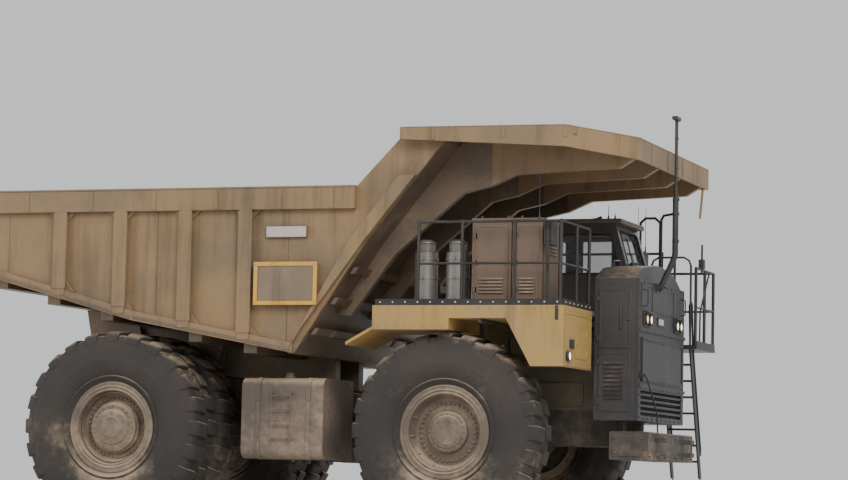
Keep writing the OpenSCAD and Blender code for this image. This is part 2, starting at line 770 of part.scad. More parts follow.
module landing_ladder() color("#2e2b28") placed() {
  x0 = deck_front + landing_gap;
  x1 = x0 + landing_l;
  z = deck_z - landing_drop;
  block([x0, landing_y0, z], [x1, landing_y1, z + 60]);
  translate([0, 0, z + 55]) {
    railing([x1 - 40, landing_y0 + 40, 0], [x1 - 40, landing_y1 - 40, 0], [0, 0.5, 1], landing_rail_h);
    railing([x1 - 40, landing_y1 - 40, 0], [x0 + 40, landing_y1 - 40, 0], [1], landing_rail_h);
  }
  // Tall grab hoop beside the landing's inner corner.
  hoop_y = (landing_y0 + landing_y1) / 2;
  bent_bar([[x0 + 80, hoop_y, z + 55], [x0 + 80, hoop_y, z + grab_h - 110],
    [x0 + 130, hoop_y, z + grab_h - 30], [x0 + grab_w + 30, hoop_y, z + grab_h],
    [x0 + grab_w + 80, hoop_y, z + grab_h - 70], [x0 + grab_w + 80, hoop_y, z + 55]], rail_d);
  // Aerial with its box on the rail.
  post(x1 - 40, landing_y0 + 500, 40, z + landing_rail_h, z + landing_rail_h + 540);
  block([x1 - 90, landing_y0 + 420, z + landing_rail_h + 70], [x1 + 10, landing_y0 + 560,
    z + landing_rail_h + 250]);
  // Ladder that slants outward to the ground.
  side_w = 160;
  ladder_x = x1 - ladder_inset - ladder_w;
  for (x = [ladder_x, ladder_x + ladder_w - 30])
    profile_yz([[landing_y0 + 100, z + 10], [landing_y0 + 100 + side_w, z + 10],
      [landing_y0 + 60 + side_w + ladder_run, ladder_low], [landing_y0 + 60 + ladder_run, ladder_low]],
        x, x + 30);
  for (i = [1:ladder_steps]) {
    s = i / (ladder_steps + 1);
    y = landing_y0 + 130 + (ladder_run - 40) * s;
    block([ladder_x + 10, y, z - (z - ladder_low) * s],
      [ladder_x + ladder_w - 10, y + 110, z - (z - ladder_low) * s + 30]);
  }
  for (y = [landing_y0 + 200, landing_y1 - 320])
    block([deck_front + seat_gap, y, z - 40], [x0 + 20, y + 120, z + 50]);
}

// Side outline of the cab.
cab_side = [[cab_x0, cab_floor_z + seat_gap], [cab_x1, cab_floor_z + seat_gap], [cab_x1, cab_sill],
  [cab_x2, cab_top], [cab_x0, cab_top]];

// Front edge of the cab at a height above the windshield's lower edge.
function screen_x(z) = cab_x1 - (z - cab_sill) * screen_lean / (cab_top - cab_sill);

// Outline of a side window from x0 to the windshield's pillar, drawn in by t.
function side_window(x0, t) = [[x0 + t, window_z0 + t], [screen_x(window_z0) - 150 - 2 * t, window_z0 + t],
  [screen_x(window_z1) - 150 - 2 * t, window_z1 - t], [x0 + t, window_z1 - t]];

module cab_floor() color("#3a3835") placed()
  block([cab_x0, cab_y0, deck_z + seat_gap], [cab_x1, cab_y1, cab_floor_z]);

module cab_roof() color("#8f8a80") placed()
  block([cab_x0 - roof_over, cab_y0 - roof_over, cab_roof_z - cab_t],
    [cab_x2 + visor, cab_y1 + roof_over, cab_roof_z]);

module cab_rear() color("#54504b") placed() difference() {
  block([cab_x0, cab_y0 + cab_t + seat_gap, cab_floor_z + seat_gap],
    [cab_x0 + cab_t, cab_y1 - cab_t - seat_gap, cab_top]);
  block([cab_x0 - 5, cab_y0 + 350, window_z0], [cab_x0 + cab_t + 5, cab_y1 - 350, window_z1 - 50]);
}

module cab_right_side() color("#54504b") placed() difference() {
  profile_xz(cab_side, cab_y0, cab_y0 + cab_t);
  profile_xz(side_window(cab_x0 + 250, 0), cab_y0 - 5, cab_y0 + cab_t + 5);
}

// Door hinges: the wall's knuckles lie below the door's, on one upright axis.
door_hinges = [door_z0 + 340, door_z0 + 1140];
module hinge_knuckle(z, leaf) {
  post(door_x0, cab_y1 + hinge_off, door_hinge_d, z, z + door_hinge_h - run_gap);
  block([min(door_x0, door_x0 + leaf), cab_y1 - 5, z],
    [max(door_x0, door_x0 + leaf), cab_y1 + hinge_off + 8, z + door_hinge_h - run_gap]);
}

module cab_left_side() color("#54504b") placed() {
  for (z = door_hinges) hinge_knuckle(z, -70);
  left_wall();
}

module left_wall() difference() {
  profile_xz(cab_side, cab_y1 - cab_t, cab_y1);
  block([door_x0 - door_gap, cab_y1 - cab_t - 5, door_z0 - door_gap],
    [door_x1 + door_gap, cab_y1 + 5, door_z1 + door_gap]);
  profile_xz(side_window(door_x1 + 110, 0), cab_y1 - cab_t - 5, cab_y1 + 5);
}

module cab_front() color("#54504b") placed() difference() {
  profile_xz([[cab_x1 - cab_t, cab_floor_z + seat_gap], [cab_x1, cab_floor_z + seat_gap],
    [cab_x1, cab_sill],
    [cab_x2, cab_top], [cab_x2 - cab_t, cab_top], [cab_x1 - cab_t, cab_sill - 20]],
    cab_y0 + cab_t + seat_gap, cab_y1 - cab_t - seat_gap);
  block([cab_x2 - 400, cab_y0 + screen_border, cab_sill + 80],
    [cab_x1 + 50, cab_y1 - screen_border, cab_top - 110]);
}

module cab_glass() color("#222a30") placed() {
  g = seat_gap;
  low = cab_sill + 80 + g;
  high = cab_top - 110 - g;
  profile_xz([[screen_x(low) - glass_in, low], [screen_x(high) - glass_in, high],
    [screen_x(high) - glass_in - glass_t, high], [screen_x(low) - glass_in - glass_t, low]],
    cab_y0 + screen_border + g, cab_y1 - screen_border - g);
  profile_xz(side_window(cab_x0 + 250, g), cab_y0 + glass_in, cab_y0 + glass_in + glass_t);
  block([cab_x0 + glass_in, cab_y0 + 350 + g, window_z0 + g],
    [cab_x0 + glass_in + glass_t, cab_y1 - 350 - g, window_z1 - 50 - g]);
  profile_xz(side_window(door_x1 + 110, g), cab_y1 - glass_in - glass_t, cab_y1 - glass_in);
}

seat_y = (cab_y0 + cab_y1) / 2 + 25;
module cab_seat() color("#2b2b2e") placed() {
  low = cab_floor_z + seat_h;
  block([cab_x0 + 400, seat_y - seat_w / 2, low + seat_gap], [cab_x0 + 950, seat_y + seat_w / 2,
    low + 140]);
  block([cab_x0 + 230, seat_y - seat_w / 2, low + seat_gap], [cab_x0 + 395, seat_y + seat_w / 2,
    low + 840]);
}

module cab_console() color("#303030") placed() {
  block([cab_x0 + 290, seat_y - seat_w / 2 + 60, cab_floor_z + seat_gap],
    [cab_x0 + 850, seat_y + seat_w / 2 - 60, cab_floor_z + seat_h]);
  profile_xz([[cab_x1 - 380, cab_floor_z + seat_gap], [cab_x1 - 110, cab_floor_z + seat_gap],
    [cab_x1 - 110, cab_sill - 40], [cab_x1 - 380, cab_sill - 120]], cab_y0 + 200, cab_y1 - 150);
  hub = [cab_x1 - 540, seat_y, cab_sill];
  bar(hub + [180, 0, -280], hub, 60);
  translate(hub) rotate([0, -33, 0]) {
    difference() {
      translate([0, 0, -15]) cylinder(d = wheel_d, h = 30);
      translate([0, 0, -20]) cylinder(d = wheel_d - 70, h = 40);
    }
    translate([-wheel_d / 2 + 10, -20, -12]) cube([wheel_d - 20, 40, 20]);
  }
}

module cab_door() color("#54504b") placed() {
  for (z = door_hinges) hinge_knuckle(z + door_hinge_h, 70);
  difference() {
    block([door_x0, cab_y1 - cab_t + 20, door_z0], [door_x1, cab_y1, door_z1]);
    block([door_x0 + door_border, cab_y1 - cab_t - 5, window_z0],
      [door_x1 - door_border, cab_y1 + 5, window_z1]);
  }
}

module cab_door_glass() color("#222a30") placed()
  block([door_x0 + door_border + seat_gap, cab_y1 - glass_in - glass_t, window_z0 + seat_gap],
    [door_x1 - door_border - seat_gap, cab_y1 - glass_in, window_z1 - seat_gap]);

module deck_cabinet() color("#6f6552") placed() {
  x0 = wheelbase + cabinet_lead;
  x1 = x0 + cabinet_l1 + cabinet_gap;
  y1 = -fender_half + 350;
  for (x = [[x0, x0 + cabinet_l1], [x1, x1 + cabinet_l2]])
    block([x[0], y1, deck_z + seat_gap], [x[1], y1 + cabinet_w, deck_z + cabinet_h]);
}

module air_cleaners() color("#8c8a86") placed()
  for (x = [wheelbase - cleaner_pitch, wheelbase]) {
    post(x, -cleaner_y, cleaner_d, deck_z + seat_gap, deck_z + cleaner_h);
    post(x, -cleaner_y, cleaner_d - 120, deck_z + cleaner_h - 10, deck_z + cleaner_h + 190);
  }

// Side tank with rounded long edges.
module tank() translate([tank_x0, 0, 0]) rotate([90, 0, 90]) linear_extrude(tank_x1 - tank_x0) union() {
  translate([tank_in, tank_bottom]) square([tank_out - tank_in - tank_r, tank_h]);
  translate([tank_in, tank_bottom + tank_r]) square([tank_out - tank_in, tank_h - 2 * tank_r]);
  for (z = [tank_bottom + tank_r, tank_top - tank_r]) translate([tank_out - tank_r, z]) circle(r = tank_r);
}
module tank_left() color("#5e5a52") placed() tank();
module tank_right() color("#5e5a52") placed() sided(-1) tank();

module mirrors() color("#2b2927") placed() for (side = [-1, 1]) sided(side) {
  x = deck_front - mirror_back;
  bar([x, mirror_y, deck_z + seat_gap], [x, mirror_y, deck_z + mirror_post_h], mirror_post_d);
  block([x - mirror_t / 2, mirror_y - mirror_w, deck_z + mirror_post_h - mirror_h],
    [x + mirror_t / 2, mirror_y, deck_z + mirror_post_h]);
}

module mast() color("#2b2927") placed() {
  x = bumper_front - 50;
  top = canopy_z + mast_over;
  front = grille_x + grille_t + seat_gap;
  foot = hood_shoulder - 90;
  rise = 620;
  out = front + mast_arm_d / 2 + 15;
  // Foot plate on the grille, and a thick arm that leans out and turns upright.
  block([front, -mast_y - 130, foot - 90], [front + 30, -mast_y + 130, foot + 70]);
  bent_bar(concat([[front + 20, -mast_y, foot]],
    [for (t = [0:15:90]) [out + (x - out) * sin(t), -mast_y,
      foot + rise * (t / 90) * (1.6 - 0.6 * t / 90)]],
    [[x, -mast_y, deck_z + mast_arm_h]]), mast_arm_d);
  bar([x, -mast_y, deck_z + mast_arm_h - 20], [x, -mast_y, top - 50], mast_d);
  block([x - 50, -mast_y - 150, top - 60], [x + 50, -mast_y + 150, top]);
}

// Bed sheets share the floor line, given from the tail forward.
floor_line = [[-bed_tail, tail_z], [kink_x, kink_z], [nose_x, nose_z]];
front_line = [[nose_x, nose_z], [bend_x, bend_z], [wall_x, wall_z]];
front_lean = lean_low / bend_h;

// Beams above the frame rails, hinge ears with their pin, and hoist brackets.
module bed_beams() color("#7d6a50") placed() for (side = [-1, 1]) sided(side) {
  front = nose_x - 180;
  difference() {
    union() {
      profile_xz([[front, floor_at(front) + 40 - seat_gap], [front, rail_edge(front) + beam_gap],
        [600, rail_edge(600) + beam_gap], [-700, rail_edge(-700) + beam_gap],
        [-700, floor_at(-700) + 40 - seat_gap], [kink_x, kink_z + 40 - seat_gap]], rail_in, rail_out);
      // Hinge ears beside the frame's ears.
      profile_xz([[-hinge_back - 180, hinge_z - 40], [-hinge_back - 60, hinge_z - 180],
        [-hinge_back + 100, hinge_z - 180], [-700, hinge_z + 250], [-700, floor_at(-700) + 40 - seat_gap],
        [-1900, floor_at(-1900) + 40 - seat_gap]], rail_out + 8, rail_out + 148);
      block([-900, rail_in, rail_edge(-900) + 500], [-680, rail_out + 148, rail_edge(-900) + 800]);
      // The hinge pin, held in the bed's ear and turning in the frame's.
      rod_y(-hinge_back, hinge_z, hinge_pin_d - 2 * run_gap, rail_in + 10, rail_out + 148);
      // Hoist brackets: two plates beside each rod's eye.
      for (y = [hoist_y - hoist_rod_d / 2 - bracket_gap - bracket_t,
        hoist_y + hoist_rod_d / 2 + bracket_gap])
        profile_xz([[hoist_x - 150, hoist_high_z - 60], [hoist_x - 60, hoist_high_z - 140],
          [hoist_x + 60, hoist_high_z - 140], [hoist_x + 150, hoist_high_z - 60],
          [hoist_x + 300, floor_at(hoist_x + 300) + 40 - seat_gap],
          [hoist_x - 300, floor_at(hoist_x - 300) + 40 - seat_gap]], y, y + bracket_t);
      block([hoist_x - 150, rail_out - 20, floor_at(hoist_x + 150) - 200],
        [hoist_x + 150, hoist_y + hoist_rod_d / 2 + bracket_gap + bracket_t, floor_at(hoist_x + 150) - 20]);
    }
    bolster_slots();
  }
}

// Places of the cross bolsters along the bed.
bolster_x = [-2500, -1400, -300, 1500, nose_x - 900];
module bolster_slots()
  for (x = bolster_x)
    block([x - bolster_w / 2 - seat_gap, -bolster_half, floor_at(x) - bolster_h - seat_gap],
      [x + bolster_w / 2 + seat_gap, bolster_half, floor_at(x) + floor_t]);

module bed_floor() color("#7d6a50") placed() {
  under = raised(floor_line, 40);
  over = raised(floor_line, 40 + floor_t);
  slope = nose_drop / (nose_x - kink_x);
  start = nose_x - (wall_t + seat_gap - 40 * front_lean) / (1 + front_lean * slope);
  start_z = floor_at(start) + 40;
  profile_xz([under[0], under[1], [start, start_z],
    [start + floor_t * front_lean, start_z + floor_t], over[1], over[0]],
    -bed_inner + seat_gap, bed_inner - seat_gap);
  for (x = bolster_x)
    block([x - bolster_w / 2, -bolster_half, floor_at(x) - bolster_h],
      [x + bolster_w / 2, bolster_half, floor_at(x) + 60]);
}

module bed_side() {
  skin = bed_inner + plate_t - 5;
  profile_xz(concat(floor_line, [[bend_x, bend_z], [wall_x, wall_z], [canopy_rear + 700, canopy_z - 70],
    [canopy_rear, canopy_z - 70], [nose_x + bed_rail_lead, bed_rail_top], [300 - bed_tail, bed_rail_top]]),
    bed_inner, bed_inner + plate_t);
  // Top rail and lower edge.
  block([300 - bed_tail, skin, bed_rail_top - bed_rail_h], [nose_x + bed_rail_lead, bed_half,
    bed_rail_top]);
  profile_xz(concat(floor_line, reversed(raised(floor_line, 180))), skin, bed_half - 20);
  // Upright ribs.
  for (x = [-1190, 40, 1350, 2540])
    block([x - rib_w / 2, skin, floor_at(x) + 60], [x + rib_w / 2, bed_half, bed_rail_top - 10]);
  // Front post.
  profile_xz([[nose_x - 60, nose_z + 100], [nose_x + 200, nose_z + 490], [bend_x, bend_z],
    [bend_x + 940, bend_z + 1150], [bend_x + 640, bend_z + 1150], [bend_x - 300, bend_z]], skin, bed_half);
  // Number board and a small plate above it, both blank.
  block([nose_x - 750, bed_half - 10, kink_z + 270], [nose_x + 480, bed_half + 30, kink_z + 1050]);
  block([nose_x - 570, skin, kink_z + 1500], [nose_x + 220, bed_half - 60, kink_z + 1710]);
}
module bed_side_left() color("#8a7558") placed() bed_side();
module bed_side_right() color("#8a7558") placed() sided(-1) bed_side();

// Underside of the canopy's plate at any place along it, up to its corner.
function canopy_under(x) = canopy_z + 10 - 20 * (x - canopy_rear) / (canopy_corner - canopy_rear) - plate_t;

// Places across the bed of the stiffeners on the front wall and under the canopy.
stiffener_y = [-2400, -800, 800, 2400];
// Where the front wall's stiffeners meet the canopy's.
join_x = wall_x + 620;
join_z = wall_z - 735;

module bed_front() color("#7d6a50") placed() {
  profile_xz(concat(front_line, reversed(pushed(front_line, -wall_t))), -bed_inner + seat_gap,
    bed_inner - seat_gap);
  // Header that closes the wall against the canopy's underside.
  profile_xz([[wall_x - wall_t + 20, wall_z - 20], [wall_x - 20, wall_z - 20],
    [wall_x + 50, canopy_under(wall_x + 50) - seat_gap],
    [wall_x - wall_t + 90, canopy_under(wall_x - wall_t + 90) - seat_gap]], -bed_inner + seat_gap,
      bed_inner - seat_gap);
  for (y = stiffener_y)
    profile_xz([[nose_x + 500, nose_z + 760], [nose_x + 750, nose_z + 720], [bend_x + 240, bend_z - 190],
      [wall_x + 100, wall_z - 850], [join_x, join_z], [join_x, canopy_under(join_x) - seat_gap],
      [wall_x + 100, canopy_under(wall_x + 100) - seat_gap], [wall_x - 10, wall_z - 10],
        [bend_x - 10, bend_z - 10]],
      y - stiffener_w / 2, y + stiffener_w / 2);
}

// Outline of the canopy in plan, drawn in by t.
function canopy_plan(t) = [[canopy_rear + t, -canopy_half + t],
  [canopy_corner - t * 0.41, -canopy_half + t],
  [canopy_front - t, -front_corner_half + t * 0.41], [canopy_front - t, front_corner_half - t * 0.41],
  [canopy_corner - t * 0.41, canopy_half - t], [canopy_rear + t, canopy_half - t]];

module bed_canopy() color("#7d6a50") placed() {
  top = [[canopy_rear, canopy_z + 10], [canopy_corner, canopy_z - 10],
    [canopy_front, canopy_z - canopy_fall]];
  low = canopy_z - 1200;
  high = canopy_z + 800;
  intersection() {
    profile_xz(concat(top, reversed(raised(top, -plate_t))), -canopy_half, canopy_half);
    profile_xy(canopy_plan(0), low, high);
  }
  intersection() {
    profile_xz(concat(raised(top, -10), [[canopy_front, canopy_z - canopy_fall - lip_h],
      [canopy_corner, canopy_z - lip_h], [canopy_rear, canopy_z - lip_h / 2 - 10]]), -canopy_half,
        canopy_half);
    difference() {
      profile_xy(canopy_plan(0), low, high);
      profile_xy(canopy_plan(plate_t), low - 10, high + 10);
      block([canopy_rear - 10, -canopy_half + 50, low - 10], [canopy_rear + 200, canopy_half - 50,
        high + 10]);
    }
  }
  for (y = stiffener_y)
    profile_xz([[join_x + seat_gap, join_z], [join_x + 480, join_z + 205],
      [canopy_front - 390, join_z + 285],
      [canopy_front - plate_t, canopy_z - canopy_fall - lip_h + 70],
      [canopy_front - plate_t, canopy_z - canopy_fall - 40],
      [canopy_corner, canopy_z - 60], [join_x + seat_gap, canopy_z - 48]], y - stiffener_w / 2,
        y + stiffener_w / 2);
  // Rod that hangs at the far front corner.
  bar([canopy_front - 40, 2270, canopy_z - canopy_fall - lip_h + 30],
    [canopy_front - 40, 2060, canopy_z - 1130], 45);
}

// Hoist cylinder: outer tube on its lower pin, middle stage and inner rod.
module hoist_at(side) placed() sided(side) translate([hoist_x, hoist_y, hoist_low_z]) children();

module hoist_barrel(side) color("#6b675f") hoist_at(side) difference() {
  union() {
    rod_y(0, 0, hoist_foot_d, -hoist_eye_half, hoist_eye_half);
    post(0, 0, hoist_d, 60, stage_len + 80);
  }
  rod_y(0, 0, hoist_pin_d + 2 * run_gap, -hoist_eye_half - 10, hoist_eye_half + 10);
  post(0, 0, stage_d + 2 * run_gap, 170, stage_len + 170);
}
module hoist_stage(side) color("#a8a49b") hoist_at(side) difference() {
  post(0, 0, stage_d, 175, stage_len + 125);
  post(0, 0, hoist_rod_d + 2 * run_gap, 230, stage_len + 230);
}
module hoist_rod(side) color("#c8c8c8") hoist_at(side) difference() {
  union() {
    post(0, 0, hoist_rod_d, 235, hoist_len - 60);
    rod_y(0, hoist_len, hoist_eye_d, -hoist_eye_half, hoist_eye_half);
  }
  rod_y(0, hoist_len, hoist_pin_d, -hoist_eye_half - 10, hoist_eye_half + 10);
}
module hoist_barrel_left() hoist_barrel(1);
module hoist_barrel_right() hoist_barrel(-1);
module hoist_stage_left() hoist_stage(1);
module hoist_stage_right() hoist_stage(-1);
module hoist_rod_left() hoist_rod(1);
module hoist_rod_right() hoist_rod(-1);

// Knuckle: kingpin column, spindle, steering arm and the tie rod's stud.
module knuckle(side) color("#5d5a55") placed() sided(side) translate([wheelbase, kingpin_y, 0]) {
  post(0, 0, strut_d, axle_z - knuckle_drop, knuckle_top);
  rod_y(0, axle_z, front_spindle_d, 0, front_track_half - kingpin_y + 100);
  block([-arm_r, -arm_w / 2, arm_z], [0, arm_w / 2, arm_z + arm_t]);
  post(-arm_r, 0, arm_w, arm_z, arm_z + arm_t);
  post(-arm_r, 0, steer_pin_d, tie_z - eye_h / 2 - 20, arm_z + 10);
}
module knuckle_left() knuckle(1);
module knuckle_right() knuckle(-1);

module tie_rod() color("#5d5a55") placed() translate([wheelbase - arm_r, 0, tie_z]) difference() {
  union() {
    rod_y(0, 0, tie_rod_d, -kingpin_y + 90, kingpin_y - 90, 32);
    for (y = [-kingpin_y, kingpin_y]) post(0, y, arm_w, -eye_h / 2, eye_h / 2);
  }
  for (y = [-kingpin_y, kingpin_y]) post(0, y, steer_pin_d + 2 * run_gap, -eye_h, eye_h);
}

// Steering cylinder, drawn from its frame pin towards the arm.
steer_len = norm([cyl_back, cyl_in]);
module steer_at(side) placed() sided(side) translate([steer_frame_x, kingpin_y - cyl_in, cyl_z])
  rotate([0, 0, atan2(cyl_in, cyl_back)]) children();
module steer_barrel(side) color("#6b675f") steer_at(side) difference() {
  union() {
    post(0, 0, cyl_eye_d, -eye_h / 2, eye_h / 2);
    rod_x(0, 0, steer_tube_d, 60, 60 + steer_tube_l);
  }
  post(0, 0, steer_pin_d + 2 * run_gap, -eye_h, eye_h);
  rod_x(0, 0, steer_pin_d + 2 * run_gap, 110, 200 + steer_tube_l);
}
module steer_rod(side) color("#c8c8c8") steer_at(side) difference() {
  union() {
    rod_x(0, 0, steer_pin_d, 360, steer_len - 50);
    post(steer_len, 0, cyl_eye_d, -eye_h / 2, eye_h / 2);
  }
  post(steer_len, 0, steer_pin_d, -eye_h, eye_h);
}
module steer_barrel_left() steer_barrel(1);
module steer_barrel_right() steer_barrel(-1);
module steer_rod_left() steer_rod(1);
module steer_rod_right() steer_rod(-1);

// A flat-sided ring or disc round the Y axis, as wide across its flats as a circle of radius r.
lug_pitch = 360 / lug_count;
function flats(r) = [for (i = [0.5:lug_count]) r / cos(lug_pitch / 2) * [cos(i * lug_pitch),
  sin(i * lug_pitch)]];

// Crown outline round the wheel: each lug is a flat bar, and the groove after it is lug_depth deep.
function lug_outline() = let (root = axle_z - lug_depth, edge = lug_len / 2)
  [for (i = [0:lug_count - 1], p = [[root, -edge - 20], [axle_z, -edge], [axle_z, edge], [root, edge + 20]])
    [p[0] * cos(i * lug_pitch) - p[1] * sin(i * lug_pitch),
      p[0] * sin(i * lug_pitch) + p[1] * cos(i * lug_pitch)]];

// Section across the tyre, a little outside its crown and its sides, so only the shoulders are cut by it.
function half_section() = [[axle_z + 20, crown_w / 2 - 22], [axle_z - 80, crown_w / 2 + 90],
  [axle_z - 520, tyre_w / 2 + 5]];

// Tyre round the Y axis, its middle at the origin: flat facets, one to a lug.
module tyre() {
  up = half_section();
  side = [for (p = up) [p[0], p[1]]];
  ring = concat(side, [for (p = reversed(up)) [-p[0], p[1]]]);
  section = concat(ring, [for (p = reversed(ring)) [p[0], -p[1]]]);
  difference() {
    intersection() {
      translate([0, tyre_w / 2, 0]) rotate([90, 0, 0]) linear_extrude(tyre_w) polygon(lug_outline());
      intersection_for (i = [0:lug_count / 2 - 1])
        rotate([0, i * lug_pitch, 0]) translate([0, 0,
          -tyre_d]) linear_extrude(2 * tyre_d) polygon(section);
    }
    translate([0, tyre_w, 0]) rotate([90, 0,
      0]) linear_extrude(2 * tyre_w) polygon(flats(seat_d / 2 + seat_gap));
    for (side_y = [-1, 1]) sided(side_y) translate([0, tyre_w, 0]) rotate([90, 0, 0])
      linear_extrude(tyre_w - rim_w / 2 + 40) polygon(flats(flange_d / 2 + 50));
  }
}

module tyre_front(side) color("#2f2a26") placed() translate([wheelbase, side * front_track_half,
  axle_z]) tyre();
module tyre_rear(side) color("#2f2a26") placed()
  for (y = [inner_rear_y, outer_rear_y]) translate([0, side * y, axle_z]) tyre();
module tyre_front_left() tyre_front(1);
module tyre_front_right() tyre_front(-1);
module tyre_rear_left() tyre_rear(1);
module tyre_rear_right() tyre_rear(-1);

// Rim band with its flanges, open in the middle.
module rim_band() rotate([90, 0, 0]) rotate_extrude($fn = 64) polygon([
  [seat_d / 2 - 60, -rim_w / 2], [flange_d / 2, -rim_w / 2], [flange_d / 2, -rim_w / 2 + 35],
  [seat_d / 2, -rim_w / 2 + 35], [seat_d / 2, rim_w / 2 - 35], [flange_d / 2, rim_w / 2 - 35],
  [flange_d / 2, rim_w / 2], [seat_d / 2 - 60, rim_w / 2]]);

module rim_front(side) color("#6d6253") placed() sided(side)
translate([wheelbase, front_track_half, axle_z]) difference() {
  union() {
    rim_band();
    rod_y(0, 0, seat_d - 100, 60, 140, 64);
    rod_y(0, 0, front_spindle_d + 200, -300, 260);
  }
  rod_y(0, 0, front_spindle_d + 2 * run_gap, -310, 100 + run_gap);
}
module rim_front_left() rim_front(1);
module rim_front_right() rim_front(-1);

module rim_rear(side) color("#6d6253") placed() sided(side) translate([0, 0, axle_z]) difference() {
  union() {
    for (y = [inner_rear_y, outer_rear_y]) translate([0, y, 0]) rim_band();
    rod_y(0, 0, seat_d - 100, inner_rear_y, outer_rear_y + 200, 64);
    rod_y(0, 0, 700, outer_rear_y + 190, outer_rear_y + 420, 64);
  }
  rod_y(0, 0, rear_spindle_d + 2 * run_gap, 1000, outer_rear_y + run_gap);
}
module rim_rear_left() rim_rear(1);
module rim_rear_right() rim_rear(-1);

frame();
bumper();
rear_axle();
struts();
engine_block();
hood();
radiator_grille();
lamps();
fender_right();
fender_left();
deck();
handrail_right();
handrail_left();
landing_ladder();
cab_floor();
cab_rear();
cab_right_side();
cab_left_side();
cab_front();
cab_roof();
cab_glass();
cab_seat();
cab_console();
cab_door();
cab_door_glass();
deck_cabinet();
air_cleaners();
tank_right();
tank_left();
mirrors();
mast();
bed_beams();
bed_floor();
bed_side_right();
bed_side_left();
bed_front();
bed_canopy();
hoist_barrel_right();
hoist_barrel_left();
hoist_stage_right();
hoist_stage_left();
hoist_rod_right();
hoist_rod_left();
knuckle_right();
knuckle_left();
tie_rod();
steer_barrel_right();
steer_barrel_left();
steer_rod_right();
steer_rod_left();
tyre_front_right();
tyre_front_left();
tyre_rear_right();
tyre_rear_left();
rim_front_right();
rim_front_left();
rim_rear_right();
rim_rear_left();
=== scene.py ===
"""Looks of a mining dump truck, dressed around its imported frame. Metres; +X is forward, +Y is the truck's left."""
import json
import logging
from dataclasses import dataclass
from enum import Enum
from math import cos, exp, pi, radians, sin
from typing import Callable, Iterable, Sequence

import bmesh
import bpy
from mathutils import Matrix, Vector


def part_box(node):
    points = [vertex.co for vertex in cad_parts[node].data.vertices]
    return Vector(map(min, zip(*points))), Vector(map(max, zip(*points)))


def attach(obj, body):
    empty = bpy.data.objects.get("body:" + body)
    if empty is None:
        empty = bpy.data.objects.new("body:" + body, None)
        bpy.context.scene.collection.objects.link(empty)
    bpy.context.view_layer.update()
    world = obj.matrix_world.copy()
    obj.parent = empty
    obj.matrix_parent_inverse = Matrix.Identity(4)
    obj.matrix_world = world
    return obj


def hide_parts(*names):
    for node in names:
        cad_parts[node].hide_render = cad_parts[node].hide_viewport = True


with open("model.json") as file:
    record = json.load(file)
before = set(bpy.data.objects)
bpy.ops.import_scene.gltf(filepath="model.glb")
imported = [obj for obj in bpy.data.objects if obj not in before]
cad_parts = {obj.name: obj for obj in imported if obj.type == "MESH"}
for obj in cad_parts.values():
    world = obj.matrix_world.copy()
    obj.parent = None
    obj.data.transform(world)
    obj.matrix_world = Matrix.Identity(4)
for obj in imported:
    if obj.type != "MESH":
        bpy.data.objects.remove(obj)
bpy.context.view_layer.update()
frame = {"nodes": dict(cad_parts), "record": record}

log = logging.getLogger("truck")
Colour = tuple[float, float, float]
Point = tuple[float, float, float]
Flat = tuple[float, float]
Place = Sequence[float]
Outline = Sequence[Flat]
Socket = bpy.types.NodeSocket
Tree = bpy.types.NodeTree
Node = bpy.types.Node
Material = bpy.types.Material
Object = bpy.types.Object
Vertex = bmesh.types.BMVert
UP = (0, 0, 1)
AHEAD = (1, 0, 0)


class Side(Enum):
    """Which side of the truck a piece is on; the value is the sign of Y."""

    LEFT = 1
    RIGHT = -1

    @property
    def word(self) -> str:
        """The side's word in node and body names."""
        return self.name.lower()


